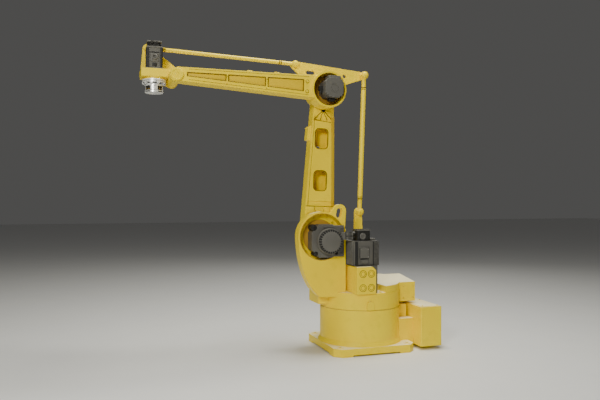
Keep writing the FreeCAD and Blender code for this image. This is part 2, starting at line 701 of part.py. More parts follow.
# ---------------------------------------------------------------- lower arm
def make_lower_arm():
    """The hollow lower arm, drawn upright with the shoulder at the origin."""
    slope_front = "(arm_low_front - arm_high_front) / (arm_high_z - arm_low_z)"
    slope_back = "(arm_low_back - arm_high_back) / (arm_high_z - arm_low_z)"

    def front(z):
        return f"(arm_low_front - ({z} - arm_low_z) * {slope_front})"

    def back(z):
        return f"(-arm_low_back + ({z} - arm_low_z) * {slope_back})"

    top = "arm_length"
    web = side_plate("arm_web", "-arm_far", "arm_near - arm_step", lambda s: draw_outline(s, [
        ("-arm_hub_radius + 4", "0"), ("arm_hub_radius - 4", "0"), (front("arm_low_z"), "arm_low_z"),
        (front(top), top), (back(top), top), (back("arm_low_z"), "arm_low_z")]))
    low_step, high_step = "arm_low_z + 40", "arm_high_z - 40"
    face = side_plate("arm_face", "arm_near - arm_step", "arm_near", lambda s: draw_outline(s, [
        (f"{back(low_step)} + 4", low_step), (f"{front(low_step)} - 4", low_step),
        (f"{front(high_step)} - 4", high_step), (f"{back(high_step)} + 4", high_step)]))
    hub = cylinder("arm_hub", "arm_hub_radius", ("0", "-arm_far", "0"), "arm_near", "Y")
    head = cylinder("arm_head", "arm_head_radius", ("0", "-arm_far", top), "arm_near", "Y")
    body = join("arm_body", web, face, hub, head)
    inner_low, inner_high = "arm_low_z + 60", "arm_high_z - 60"
    hollow = side_plate("arm_hollow", "-arm_far + arm_wall", "arm_near - arm_wall", lambda s: draw_outline(s, [
        (f"{back(inner_low)} + arm_wall", inner_low), (f"{front(inner_low)} - arm_wall", inner_low),
        (f"{front(inner_high)} - arm_wall", inner_high), (f"{back(inner_high)} + arm_wall", inner_high)]))
    windows = [side_plate(f"arm_window_{z}", "arm_near - arm_wall - 5", "arm_near + 5", lambda s: draw_outline(
        s, rounded("-5", z, "window_width", "window_height", "window_corner"))) for z in ("window_low", "window_high")]
    slot = side_plate("arm_cable_slot", "-arm_far - 5", "-arm_far + arm_wall + 5", lambda s: draw_hull(s, [
        ("-10", "cable_slot_low", "cable_slot_radius"), ("-10", "cable_slot_high", "cable_slot_radius")]))
    keep(cut("lower_arm_casting", body, hollow, *windows, slot), "lower_arm_casting", SHOULDER, ARM_TURN)
    low, high = "side_cover_low", "side_cover_low + side_cover_height"
    cover = side_plate("arm_side_cover", "-arm_far + 20", "arm_near - 32", lambda s: draw_outline(s, [
        (front(low), low), (f"{front(low)} + side_cover_depth", f"{low} + 10"),
        (f"{front(high)} + side_cover_depth", f"{high} - 10"), (front(high), high)]))
    keep(cover, "arm_side_cover", SHOULDER, ARM_TURN)
    keep(cylinder("elbow_reducer", "elbow_reducer_radius", (ELBOW_X, "arm_near", ELBOW_Z),
                  "forearm_back - running_gap", "Y"), "elbow_reducer")


# ---------------------------------------------------------------- elbow link
def make_elbow_link():
    """The three-cornered plate that passes the level from the lower rod to the upper rod."""
    plate = side_plate("link_plate", "-link_plate_far", "-link_plate_near", lambda s: draw_hull(s, [
        ("-link_web_x", "link_web_z", "link_web_radius"), ("upper_link_x", "upper_link_z", "link_tip_radius"),
        ("-lower_link_x", "lower_link_z", "link_tip_radius")]))
    slots = new_sketch(plate, "link_slots", "XZ_Plane", "link_plate_near")
    draw_hull(slots, [("upper_link_x * 0.12", "upper_link_z * 0.77", "17"),
                      ("upper_link_x * 0.36", "upper_link_z * 0.77", "17")])
    draw_circle(slots, "-lower_link_x * 0.6", "lower_link_z * 0.92", "16")
    pocket(plate, "link_slot_cut", slots, "link_plate_far - link_plate_near", reversed_way=True)
    neck = side_plate("link_neck", "-link_plate_far", "-link_plate_near", lambda s: draw_hull(s, [
        ("0", "0", "link_hub_radius"), ("-link_web_x", "link_web_z", "link_web_radius")]))
    hub = cylinder("link_hub", "link_hub_radius", ("0", "-link_plate_near", "0"), "-arm_far - running_gap", "Y")
    keep(join("elbow_link_plate", plate, neck, hub), "elbow_link_plate", ELBOW)
    keep(make_pin("rear_link_pin", REAR_PIN), "rear_link_pin")
    keep(make_pin("upper_link_pin", UPPER_PIN), "upper_link_pin")


# ---------------------------------------------------------------- forearm
def make_forearm():
    """The forearm casting, drawn level with the elbow at the origin and the wrist along +X."""
    slope_top = "(beam_root_top - beam_tip_top) / (beam_tip - beam_root)"
    slope_bottom = "(beam_root_bottom - beam_tip_bottom) / (beam_tip - beam_root)"

    def top(x):
        return f"(beam_root_top - ({x} - beam_root) * {slope_top})"

    def bottom(x):
        return f"(-beam_root_bottom + ({x} - beam_root) * {slope_bottom})"

    beam = side_plate("forearm_beam", "forearm_back", "forearm_face", lambda s: draw_outline(s, [
        ("0", bottom("0")), ("forearm_length", bottom("forearm_length")), ("forearm_length", top("forearm_length")),
        ("0", top("0"))]))
    tip = cylinder("forearm_tip", "beam_tip_radius", ("forearm_length", "forearm_back", "0"), "forearm_face", "Y")
    boss = cylinder("forearm_boss", "pivot_cap_radius", ("forearm_length", "forearm_back - pivot_boss", "0"),
                    "forearm_back", "Y")
    ring = cylinder("elbow_ring", "elbow_ring_outer", ("0", "forearm_back", "0"), "elbow_ring_face", "Y")
    body = join("forearm_body", beam, tip, boss, ring)
    recess = cylinder("elbow_recess", "elbow_ring_inner", ("0", "elbow_ring_floor", "0"), "elbow_ring_face + 5", "Y")
    panels = []
    for number in range(3):
        start = f"(panel_first + {number} * (panel_length + panel_rib))"
        end = f"({start} + panel_length)"
        panels.append(side_plate(
            f"forearm_panel_{number}", "forearm_face - panel_depth", "forearm_face + 5",
            lambda s, a=start, b=end: draw_outline(s, [
                (a, f"{bottom(a)} + panel_bottom_margin"), (b, f"{bottom(b)} + panel_bottom_margin"),
                (b, f"{top(b)} - panel_top_margin"), (a, f"{top(a)} - panel_top_margin")])))
    keep(cut("forearm_casting", body, recess, *panels), "forearm_casting", ELBOW, FOREARM_TURN)
    keep(cylinder("wrist_pivot_cap", "pivot_cap_radius", (WRIST_X, "forearm_face", WRIST_Z),
                  "forearm_face + pivot_cap_proud", "Y"), "wrist_pivot_cap")
    flange_end = "elbow_ring_floor + elbow_flange_thickness"
    keep(cylinder("elbow_motor_flange", "elbow_flange_radius", (ELBOW_X, "elbow_ring_floor", ELBOW_Z), flange_end,
                  "Y"), "elbow_motor_flange")
    x, z = "-elbow_motor_offset_x", "elbow_motor_offset_z"
    half = "elbow_motor_width / 2"
    motor = side_plate("elbow_motor", flange_end, "elbow_motor_end", lambda s: draw_outline(
        s, rectangle(f"{x} - {half}", f"{x} + {half}", f"{z} - {half}", f"{z} + {half}", "elbow_motor_corner")))
    keep(motor, "elbow_motor", ELBOW, FOREARM_TURN)


# ---------------------------------------------------------------- levelling rods
def around(name, *pieces):
    """A compound of separate pieces, placed as one."""
    thing = doc.addObject("Part::Compound", name)
    thing.Links = list(pieces)
    return thing


def make_rod(name, length, radius, neck, end_length, eye_radius, at, turn):
    """A tube between two eyes, drawn along +X from the first pin."""
    tube = cylinder(f"{name}_bar", radius, (end_length, "-rod_plane", "0"), f"{length} - {end_length}", "X")
    keep(around(f"{name}_tube", tube), f"{name}_tube", at, turn)
    ends = []
    for side in (0, 1):
        centre = "0" if side == 0 else length
        eye = cylinder(f"{name}_eye_{side}", eye_radius, (centre, "-rod_plane - eye_half_width", "0"),
                       "-rod_plane + eye_half_width", "Y")
        low, high = ("0", end_length) if side == 0 else (f"{length} - {end_length}", length)
        shank_low, shank_high = (low, f"{high} - neck_length") if side == 0 else (f"{low} + neck_length", high)
        shank = cylinder(f"{name}_shank_{side}", f"{neck} + 4", (shank_low, "-rod_plane", "0"), shank_high, "X")
        stem = cylinder(f"{name}_stem_{side}", neck, (low, "-rod_plane", "0"), high, "X")
        gap = "pin_clearance" if side == 0 else "open_pin_clearance"
        bore = cylinder(f"{name}_bore_{side}", f"pin_radius + {gap}", (centre, "-rod_plane - 50", "0"),
                        "-rod_plane + 50", "Y")
        ends.append(cut(f"{name}_end_{side}", join(f"{name}_end_body_{side}", eye, shank, stem), bore))
    keep(around(f"{name}_ends", *ends), f"{name}_ends", at, turn)


def make_rods():
    upright = ((0, 1, 0), "-90 - arm_lean")
    make_rod("lower_rod", "arm_length", "lower_rod_radius", "lower_rod_neck", "lower_rod_end", "lower_eye_radius",
             LOWER_PIN, upright)
    make_rod("upper_rod", "forearm_length", "upper_rod_radius", "upper_rod_neck", "upper_rod_end",
             "upper_eye_radius", UPPER_PIN, FOREARM_TURN)


# ---------------------------------------------------------------- wrist and tool flange
def make_wrist():
    """The level wrist head, drawn with its hinge at the origin."""
    lug_face = "forearm_back - pivot_boss - running_gap"
    lug = cylinder("wrist_lug", "wrist_lug_radius", ("0", "-link_plate_far", "0"), lug_face, "Y")
    block = box("wrist_block", ("0", "-wrist_block_half", "wrist_block_bottom"), ("wrist_block_front", "wrist_block_half",
                                                                 "wrist_block_top"))
    shelf = box("wrist_shelf", ("0", "-link_plate_far", "wrist_plate_bottom"), ("wrist_block_front", "-wrist_block_half",
                                                               "wrist_block_top"))
    plate = side_plate("wrist_plate", "-link_plate_far", "-link_plate_near", lambda s: draw_hull(s, [
        ("0", "0", "wrist_plate_root"), ("wrist_block_front - 36", "wrist_plate_bottom + 34", "30"),
        ("upper_link_x", "upper_link_z", "wrist_plate_tip"), ("-18", "100", "24")]))
    window = side_plate("wrist_window", "-link_plate_far - 5", "-link_plate_near + 5", lambda s: draw_hull(s, [
        ("80", "92", "14"), ("165", "92", "14"), ("150", "175", "14")]))
    keep(cut("wrist_casting", join("wrist_body", lug, block, shelf, plate), window), "wrist_casting", WRIST)
    half, deep = "wrist_motor_width / 2", "wrist_motor_depth / 2"
    motor = level_plate("wrist_motor", "wrist_block_top", "wrist_motor_top", lambda s: draw_outline(
        s, rectangle(f"tool_offset - {half}", f"tool_offset + {half}", f"-{deep}", deep, "12")))
    keep(motor, "wrist_motor", WRIST)
    half, deep = "wrist_encoder_width / 2", "wrist_encoder_depth / 2"
    encoder = level_plate("wrist_encoder", "wrist_motor_top", "wrist_encoder_top", lambda s: draw_outline(
        s, rectangle(f"tool_offset - {half}", f"tool_offset + {half}", f"-{deep}", deep, "20")))
    keep(encoder, "wrist_encoder", WRIST)
    x = f"{WRIST_X} + tool_offset"
    keep(cylinder("wrist_reducer", "wrist_disc_radius", (x, "0", f"{WRIST_Z} - wrist_disc_bottom"),
                  f"{WRIST_Z} + wrist_block_bottom"),
         "wrist_reducer")
    keep(make_pin("front_link_pin", FRONT_PIN), "front_link_pin")


def make_tool_flange():
    """The turning collar and the flange that a gripper bolts to."""
    x = f"{WRIST_X} + tool_offset"
    collar_top = f"{WRIST_Z} - wrist_disc_bottom - running_gap"
    keep(cylinder("tool_collar", "collar_radius", (x, "0", f"{WRIST_Z} - collar_bottom"), collar_top), "tool_collar")
    bottom, lip_top = f"{WRIST_Z} - flange_bottom", f"{WRIST_Z} - flange_bottom + flange_lip"
    stem = cylinder("flange_stem", "flange_body_radius", (x, "0", lip_top), f"{WRIST_Z} - collar_bottom")
    lip = cylinder("flange_lip_ring", "flange_lip_radius", (x, "0", bottom), lip_top)
    body = join("flange_body", stem, lip)
    pilot = cylinder("flange_pilot", "flange_pilot_radius", (x, "0", f"{bottom} - 5"), f"{bottom} + flange_pilot_depth")
    bolts = []
    for number in range(FLANGE_BOLTS):
        angle = number * 360 / FLANGE_BOLTS
        bolts.append(cylinder(f"flange_bolt_{number}", "flange_bolt_radius",
                              (f"{x} + flange_bolt_circle * cos({angle})", f"flange_bolt_circle * sin({angle})",
                               f"{bottom} - 5"), f"{bottom} + flange_bolt_depth"))
    keep(cut("tool_flange", body, pilot, *bolts), "tool_flange")


# ---------------------------------------------------------------- build, check and write
make_base_casting()
make_connection_box()
make_turret_casting()
make_rear_housing()
make_turn_motor()
make_arm_drive()
make_link_post()
make_lower_arm()
make_elbow_link()
make_forearm()
make_rods()
make_wrist()
make_tool_flange()
doc.recompute()

for thing in doc.Objects:
    if {"Invalid", "Error"} & set(thing.State):
        raise ValueError(f"{thing.Name} failed: {thing.State}")
os.makedirs("parts", exist_ok=True)
for thing in subparts:
    if thing.Shape.isNull() or not thing.Shape.isValid():
        raise ValueError(f"{thing.Label} has no valid shape")
    thing.Shape.exportStep(os.path.join("parts", f"{thing.Label}.step"))
    print(f"{thing.Label}: {len(thing.Shape.Solids)} solid(s), {thing.Shape.Volume / 1e6:.2f} litres")
print("total litres:", round(sum(t.Shape.Volume for t in subparts) / 1e6, 1))
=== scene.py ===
"""Looks for a four-axis palletising robot arm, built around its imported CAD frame.

Frame: metres, +X forward, +Y the motors' side, +Z up, the turret's axis through the origin.
"""
import bmesh
import bpy
import json
import math
from mathutils import Matrix, Vector


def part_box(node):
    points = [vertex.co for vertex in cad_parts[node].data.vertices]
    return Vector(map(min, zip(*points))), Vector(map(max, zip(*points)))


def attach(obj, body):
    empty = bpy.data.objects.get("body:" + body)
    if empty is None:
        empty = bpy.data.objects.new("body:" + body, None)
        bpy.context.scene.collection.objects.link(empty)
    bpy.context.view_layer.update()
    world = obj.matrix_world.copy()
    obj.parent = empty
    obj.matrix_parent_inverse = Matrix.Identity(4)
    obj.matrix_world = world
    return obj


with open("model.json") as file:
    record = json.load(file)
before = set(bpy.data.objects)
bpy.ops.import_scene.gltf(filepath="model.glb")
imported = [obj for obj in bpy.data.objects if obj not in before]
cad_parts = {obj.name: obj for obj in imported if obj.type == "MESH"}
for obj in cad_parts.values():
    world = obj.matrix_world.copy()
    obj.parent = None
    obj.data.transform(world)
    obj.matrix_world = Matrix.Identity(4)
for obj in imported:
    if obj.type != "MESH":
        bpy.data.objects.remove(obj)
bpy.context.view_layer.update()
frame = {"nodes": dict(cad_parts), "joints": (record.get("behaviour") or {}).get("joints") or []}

# ---------------------------------------------------------------- places, read from the frame
JOINTS = {joint["name"]: Vector(joint["pos_m"]) for joint in frame["joints"]}
SHOULDER, ELBOW, WRIST = JOINTS["arm_swing"], JOINTS["forearm_swing"], JOINTS["wrist_level"]
LOWER_PIN, UPPER_PIN = JOINTS["lower_rod_swing"], JOINTS["upper_rod_swing"]
REAR_PIN = LOWER_PIN + ELBOW - SHOULDER
FRONT_PIN = UPPER_PIN + WRIST - ELBOW
TOOL = JOINTS["tool_turn"]
ALONG_X, ALONG_Y, ALONG_Z = Vector((1, 0, 0)), Vector((0, 1, 0)), Vector((0, 0, 1))

# Faces and places that the frame's boxes don't give, in metres.
PLATE_TOP, ANCHOR = 0.065, 0.3             # the base plate, and its anchor holes from the axis
SHOULDER_FLOOR, RING_FACE = 0.110, 0.1885  # the shoulder's recess, and the ring round it
WEB_FACE, ARM_FACE = 0.063, 0.075          # the lower arm's web, and its side
ELBOW_FLOOR = 0.122                        # the elbow's recess
BEAM_FACE = 0.225                          # the forearm's side
HOUSING_SIDE = 0.145                       # the sides of the rear housing's box
FAR_FACE = -0.125                          # the far wall, the link plate and the wrist
PIN_FACE = -0.054                          # the pins' near ends
SHARP_ANGLE = math.radians(35)             # faces that turn by more meet at a sharp edge


def low(node):
    return Vector(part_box(node)[0])


def high(node):
    return Vector(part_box(node)[1])


def middle(node):
    return (low(node) + high(node)) / 2


def limb(start, end):
    """A frame at start whose X runs to end and whose Y is the row's."""
    forward = (end - start).normalized()
    rotation = Matrix((forward, ALONG_Y, forward.cross(ALONG_Y))).transposed().to_4x4()
    return Matrix.Translation(start) @ rotation


def along(start, end):
    """A frame at start whose Z runs to end and whose Y is the row's."""
    return limb(start, end) @ Matrix.Rotation(math.radians(90), 4, "Y")


def facing(at, axis):
    """A frame at a point whose Z runs along an axis."""
    return Matrix.Translation(at) @ Vector(axis).to_track_quat("Z", "Y").to_matrix().to_4x4()


def over(point, y):
    """A frame beside a point, at a height along Y, that faces the near side."""
    return facing((point.x, y, point.z), ALONG_Y)


def beyond(point):
    """A frame beside a point, on the far face, that faces the far side."""
    return facing((point.x, FAR_FACE, point.z), -ALONG_Y)


# ---------------------------------------------------------------- materials
class Shader:
    """A material's node tree with short ways to add to it."""

    def __init__(self, name):
        self.material = bpy.data.materials.new(name)
        self.material.use_nodes = True
        self.tree = self.material.node_tree
        self.surface = self.tree.nodes["Principled BSDF"]
        self.place = self.tree.nodes.new("ShaderNodeTexCoord").outputs["Object"]

    def node(self, kind, **settings):
        made = self.tree.nodes.new(kind)
        for key, value in settings.items():
            setattr(made, key, value)
        return made

    def link(self, source, target):
        self.tree.links.new(source, target)

    def noise(self, scale, detail, stretch=(1, 1, 1)):
        mapping = self.node("ShaderNodeMapping")
        mapping.inputs["Scale"].default_value = stretch
        self.link(self.place, mapping.inputs["Vector"])
        noise = self.node("ShaderNodeTexNoise")
        noise.inputs["Scale"].default_value = scale
        noise.inputs["Detail"].default_value = detail
        self.link(mapping.outputs["Vector"], noise.inputs["Vector"])
        return noise.outputs["Fac"]

    def ramp(self, source, low_stop, high_stop, low_value=0.0, high_value=1.0):
        ramp = self.node("ShaderNodeMapRange")
        for socket, value in (("From Min", low_stop), ("From Max", high_stop), ("To Min", low_value),
                              ("To Max", high_value)):
            ramp.inputs[socket].default_value = value
        self.link(source, ramp.inputs["Value"])
        return ramp.outputs["Result"]

    def mix(self, factor, first, second):
        """Mix two colours, each a value or a socket."""
        mix = self.node("ShaderNodeMix", data_type="RGBA")
        self.link(factor, mix.inputs["Factor"])
        for socket, value in ((mix.inputs[6], first), (mix.inputs[7], second)):
            if isinstance(value, tuple):
                socket.default_value = (*value, 1)
            else:
                self.link(value, socket)
        return mix.outputs[2]

    def edges(self, radius, sharpness):
        """Where a surface turns within a radius: 0 on flats, 1 on corners."""
        bevel = self.node("ShaderNodeBevel", samples=4)
        bevel.inputs["Radius"].default_value = radius
        geometry = self.node("ShaderNodeNewGeometry")
        dot = self.node("ShaderNodeVectorMath", operation="DOT_PRODUCT")
        self.link(bevel.outputs["Normal"], dot.inputs[0])
        self.link(geometry.outputs["Normal"], dot.inputs[1])
        return self.ramp(dot.outputs["Value"], 1.0, 1.0 - sharpness)

    def bump(self, height, strength, distance, rounding):
        """Raise the surface by a height socket, over edges rounded to a radius."""
        bump = self.node("ShaderNodeBump")
        bump.inputs["Strength"].default_value = strength
        bump.inputs["Distance"].default_value = distance
        self.link(height, bump.inputs["Height"])
        bevel = self.node("ShaderNodeBevel", samples=4)
        bevel.inputs["Radius"].default_value = rounding
        self.link(bevel.outputs["Normal"], bump.inputs["Normal"])
        self.link(bump.outputs["Normal"], self.surface.inputs["Normal"])


def darker(colour, share):
    return tuple(channel * share for channel in colour)


def painted(name, colour, shade, worn, grain, roughness, pale=None):
    """Paint over a casting: colour drift, cast grain and softened, worn edges.

    With a pale colour, what faces up is painted paler: a painted highlight from the overhead light.
    """
    shader = Shader(name)
    drift = shader.ramp(shader.noise(2.2, 5), 0.35, 0.68)
    body = shader.mix(drift, shade, colour)
    grime = shader.ramp(shader.noise(14, 8), 0.56, 0.8, 0.0, 0.35)
    body = shader.mix(grime, body, darker(shade, 0.72))
    if pale:
        # Painted highlight: faces that look up are mixed towards the pale colour, standing in for the
        # overhead light.
        geometry = shader.node("ShaderNodeNewGeometry")
        axes = shader.node("ShaderNodeSeparateXYZ")
        shader.link(geometry.outputs["Normal"], axes.inputs[0])
        top_highlight = shader.ramp(axes.outputs["Z"], 0.86, 0.985, 0.0, 0.78)
        body = shader.mix(top_highlight, body, pale)
    scuffs = shader.node("ShaderNodeMath", operation="MULTIPLY")
    shader.link(shader.edges(0.0045, 0.35), scuffs.inputs[0])
    shader.link(shader.ramp(shader.noise(26, 6), 0.46, 0.62), scuffs.inputs[1])
    body = shader.mix(scuffs.outputs[0], body, worn)
    shader.link(body, shader.surface.inputs["Base Color"])
    shader.link(shader.ramp(shader.noise(60, 4), 0.3, 0.7, roughness - 0.06, roughness + 0.08),
                shader.surface.inputs["Roughness"])
    for socket, value in (("Coat Weight", 0.05), ("Coat Roughness", 0.25), ("Specular IOR Level", 0.3)):
        shader.surface.inputs[socket].default_value = value
    shader.bump(shader.noise(grain, 6), 0.22, 0.0012, 0.005)
    return shader.material


def machined(name, colour, roughness, stretch=(1, 1, 40), metal=0.9):
    """Bare turned or milled metal with fine tool lines."""
    shader = Shader(name)
    lines = shader.noise(70, 3, stretch)
    tone = shader.ramp(lines, 0.3, 0.7)
    shader.link(shader.mix(tone, darker(colour, 0.78), colour), shader.surface.inputs["Base Color"])
    shader.link(shader.ramp(shader.noise(30, 5), 0.3, 0.7, roughness - 0.08, roughness + 0.1),
                shader.surface.inputs["Roughness"])
    shader.surface.inputs["Metallic"].default_value = metal
    shader.bump(lines, 0.1, 0.0006, 0.002)
    return shader.material


def plastic(name, colour, roughness):
    """Moulded plastic or rubber with a fine spark texture."""
    shader = Shader(name)
    tone = shader.ramp(shader.noise(9, 4), 0.35, 0.7)
    shader.link(shader.mix(tone, darker(colour, 0.7), colour), shader.surface.inputs["Base Color"])
    shader.surface.inputs["Roughness"].default_value = roughness
    shader.bump(shader.noise(900, 2), 0.2, 0.0004, 0.0015)
    return shader.material


# Name, colour, shade, worn edge, scale of the grain, roughness; the castings also take the pale colour
# of their painted top highlight.
YELLOW = painted("yellow_enamel", (1.0, 0.78, 0.0), (0.97, 0.71, 0.0), (1.0, 0.86, 0.05), 160, 0.38,
                 pale=(1.0, 0.94, 0.68))
YELLOW_CAST = painted("yellow_cast", (1.0, 0.77, 0.0), (0.96, 0.69, 0.0), (1.0, 0.86, 0.05), 90, 0.42,
                      pale=(1.0, 0.93, 0.66))
DARK_GREY = painted("motor_grey", (0.145, 0.14, 0.12), (0.105, 0.10, 0.09), (0.30, 0.29, 0.27),
                    240, 0.45)
BLACK_GREY = painted("gap_grey", (0.024, 0.023, 0.02), (0.015, 0.014, 0.012), (0.12, 0.12, 0.11),
                     240, 0.5)
YELLOW_TUBE = painted("tube_yellow", (1.0, 0.77, 0.0), (0.96, 0.70, 0.0), (1.0, 0.82, 0.04), 200, 0.36)
# Painted shade: a darker yellow for the lower arm's rear bevel, which turns away from the light.
YELLOW_PAINTED_SHADE = painted("painted_bevel_shade", (0.66, 0.44, 0.0), (0.56, 0.36, 0.0), (0.9, 0.68, 0.05),
                       120, 0.5)
# Painted shade: a darker yellow for the floors of the forearm's recessed panels.
YELLOW_RECESS_SHADE = painted("panel_recess_shade", (0.90, 0.63, 0.01), (0.84, 0.57, 0.008), (0.95, 0.8, 0.1),
                       120, 0.5)
# Painted shadow: dark brown lines and rings along recess edges, creases, steps and round bosses and
# screws, where shade falls.
SHADOW_LINE = painted("painted_shadow_line", (0.20, 0.115, 0.006), (0.14, 0.08, 0.004), (0.25, 0.16, 0.02), 200, 0.6)
SILVER = machined("tool_silver", (0.97, 0.97, 0.95), 0.30, metal=0.35)
STEEL = machined("bolt_steel", (0.55, 0.54, 0.52), 0.35, (1, 1, 1))
IRON = machined("reducer_iron", (0.30, 0.27, 0.23), 0.5)
# Brown: painted shade in and round the shoulder's and elbow's recesses; the tool's recess bolts are
# copper-coloured.
RECESS_SHADE_AND_COPPER = painted("painted_recess_shade_and_copper", (0.55, 0.32, 0.03), (0.38, 0.21, 0.02), (0.8, 0.6, 0.2), 200, 0.5)
BLACK = plastic("black_plastic", (0.012, 0.012, 0.011), 0.6)

# The nodes that aren't a yellow casting.
NODE_MATERIALS = {node: material for material, nodes in (
    (DARK_GREY, ("turn_motor", "arm_motor", "arm_motor_flange", "arm_motor_connector", "elbow_motor",
                 "wrist_motor")),
    (BLACK_GREY, ("turn_encoder", "wrist_encoder")),
    # Painted shade: the elbow's motor flange and the shoulder's reducer are brown for the shade in
    # their recesses.
    (RECESS_SHADE_AND_COPPER, ("elbow_motor_flange", "shoulder_reducer")),
    (IRON, ("elbow_reducer",)),
    (SILVER, ("tool_collar", "tool_flange")),
    (BLACK, ("supply_inlets",)),
    (YELLOW_TUBE, ("lower_rod_tube", "upper_rod_tube", "lower_rod_ends", "upper_rod_ends")),
    (YELLOW, ("connection_box", "connection_cover", "rear_housing", "arm_side_cover",
              "wrist_pivot_cap", "motor_bracket")),
) for node in nodes}
for node, item in frame["nodes"].items():
    item.data.materials.clear()
    item.data.materials.append(NODE_MATERIALS.get(node, YELLOW_CAST))


# ---------------------------------------------------------------- mesh tools
def ring_of(mesh, radius, height, at, segments):
    """New corners round a circle about a frame's Z."""
    turns = (2 * math.pi * step / segments for step in range(segments))
    return [mesh.verts.new(at @ Vector((radius * math.cos(t), radius * math.sin(t), height)))
            for t in turns]


def close_rings(mesh, rings):
    """Faces from each ring of corners to the next, and from the last to the first."""
    for lower, upper in zip(rings, rings[1:] + rings[:1]):
        for step in range(len(lower)):
            after = (step + 1) % len(lower)
            mesh.faces.new((lower[step], lower[after], upper[after], upper[step]))


def lathe(mesh, profile, at, segments):
    """A closed solid of revolution about a frame's Z; profile is (radius, height) from axis to axis."""
    rings = []
    for radius, height in profile:
        if radius == 0:
            rings.append([mesh.verts.new(at @ Vector((0, 0, height)))])
        else:
            rings.append(ring_of(mesh, radius, height, at, segments))
    for lower, upper in zip(rings, rings[1:]):
        for step in range(segments):
            after = (step + 1) % segments
            corners = [lower[step % len(lower)], lower[after % len(lower)],
                       upper[after % len(upper)], upper[step % len(upper)]]
            distinct = list(dict.fromkeys(corners))
            if len(distinct) > 2:
                mesh.faces.new(distinct)


def hoop(mesh, profile, at, segments=48):
    """A ring; profile is a closed loop of (radius, height)."""
    close_rings(mesh, [ring_of(mesh, radius, height, at, segments) for radius, height in profile])


def washer(mesh, inner, outer, base, top, at, segments=48):
    """A flat ring between two radii and two heights."""
    hoop(mesh, [(inner, base), (outer, base), (outer, top), (inner, top)], at, segments)


def plug(mesh, radius, shoulder, reach, at, segments=24):
    """A round connector with a chamfered end."""
    lathe(mesh, [(0, 0), (radius, 0), (radius, shoulder), (radius - 0.002, reach), (0, reach)], at,
          segments)


def soften(mesh, corners, edge):
    """Bevel every edge that meets one of the corners."""
    edges = {line for vert in corners for line in vert.link_edges}
    bmesh.ops.bevel(mesh, geom=list(edges), offset=edge, segments=2, affect="EDGES", profile=0.7)


def slab(mesh, corner, opposite, at=Matrix.Identity(4), edge=0.002):
    """A box between two corners in a frame, with bevelled edges."""
    corner, opposite = Vector(corner), Vector(opposite)
    size = Matrix.Diagonal((*(opposite - corner), 1))
    centre = Matrix.Translation((corner + opposite) / 2)
    made = bmesh.ops.create_cube(mesh, size=1, matrix=at @ centre @ size)
    soften(mesh, made["verts"], edge)


def prism(mesh, outline, thickness, at, edge):
    """An outline in a frame's XY plane, raised along its Z, with bevelled edges."""
    verts = [mesh.verts.new(at @ Vector((x, y, 0))) for x, y in outline]
    face = mesh.faces.new(verts)
    raised = bmesh.ops.extrude_face_region(mesh, geom=[face])
    tops = [item for item in raised["geom"] if isinstance(item, bmesh.types.BMVert)]
    bmesh.ops.translate(mesh, verts=tops, vec=at.to_3x3() @ Vector((0, 0, thickness)))
    soften(mesh, verts + tops, edge)


def upright(at):
    """A frame turned so that an outline's X and Y run along its X and Z, facing -Y."""
    return at @ Matrix.Rotation(math.radians(90), 4, "X")


def band(mesh, outer, inner, at, back, front):
    """A flat frame between two loops of (x, z) points, from one height along Y to another."""
    sides = ((outer, back), (outer, front), (inner, front), (inner, back))
    close_rings(mesh, [[mesh.verts.new(at @ Vector((x, y, z))) for x, z in loop] for loop, y in sides])


def stroke(mesh, start, end, width, at, front, thickness=0.0014):
    """A thin straight bar between two (x, z) points on a face at a height along Y."""
    start, end = Vector(start), Vector(end)
    side = (end - start).orthogonal().normalized() * width / 2
    prism(mesh, [start - side, start + side, end + side, end - side], -thickness,
          upright(at @ Matrix.Translation((0, front - thickness / 2, 0))), thickness * 0.2)


def rounded_loop(width, height, radius):
    """Points round a rectangle with round corners, centred on zero."""
    points, steps = [], 6
    for side_x, side_y, start in ((1, 1, 0), (-1, 1, 90), (-1, -1, 180), (1, -1, 270)):
        for step in range(steps + 1):
            turn = math.radians(start + 90 * step / steps)
            points.append((side_x * (width / 2 - radius) + radius * math.cos(turn),
                           side_y * (height / 2 - radius) + radius * math.sin(turn)))
    return points


def cap_screw(mesh, at, radius, height):
    """A socket-head screw on its washer."""
    lathe(mesh, [(0, 0), (radius * 1.35, 0), (radius * 1.35, height * 0.14), (radius, height * 0.16),
                 (radius, height * 0.88), (radius * 0.9, height), (radius * 0.55, height),
                 (radius * 0.5, height * 0.5), (0, height * 0.5)], at, 18)


def hex_screw(mesh, at, radius, height):
    """A hexagon-head screw on its washer."""
    lathe(mesh, [(0, 0), (radius * 1.3, 0), (radius * 1.3, height * 0.2), (0, height * 0.2)], at, 20)
    lathe(mesh, [(0, height * 0.2), (radius, height * 0.2), (radius, height * 0.85),
                 (radius * 0.84, height), (0, height)], at, 6)


def circle_of(count, radius, at, start=0.0):
    """Frames spaced round a circle in a frame's XY plane."""
    angles = (start + 2 * math.pi * step / count for step in range(count))
    return [at @ Matrix.Translation((radius * math.cos(a), radius * math.sin(a), 0)) for a in angles]


def spokes(count, at, offset=0.0):
    """A frame turned about its Z to each of a number of equal steps."""
    return [at @ Matrix.Rotation(2 * math.pi * (step + offset) / count, 4, "Z")
            for step in range(count)]


def piece(name, body, material, build):
    """A detail mesh that rides on a body."""
    mesh = bmesh.new()
    build(mesh)
    bmesh.ops.recalc_face_normals(mesh, faces=mesh.faces)
    data = bpy.data.meshes.new(name)
    mesh.to_mesh(data)
    mesh.free()
    made = bpy.data.objects.new(name, data)
    bpy.context.scene.collection.objects.link(made)
    data.materials.append(material)
    data.shade_smooth()
    data.set_sharp_from_angle(angle=SHARP_ANGLE)
    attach(made, body)


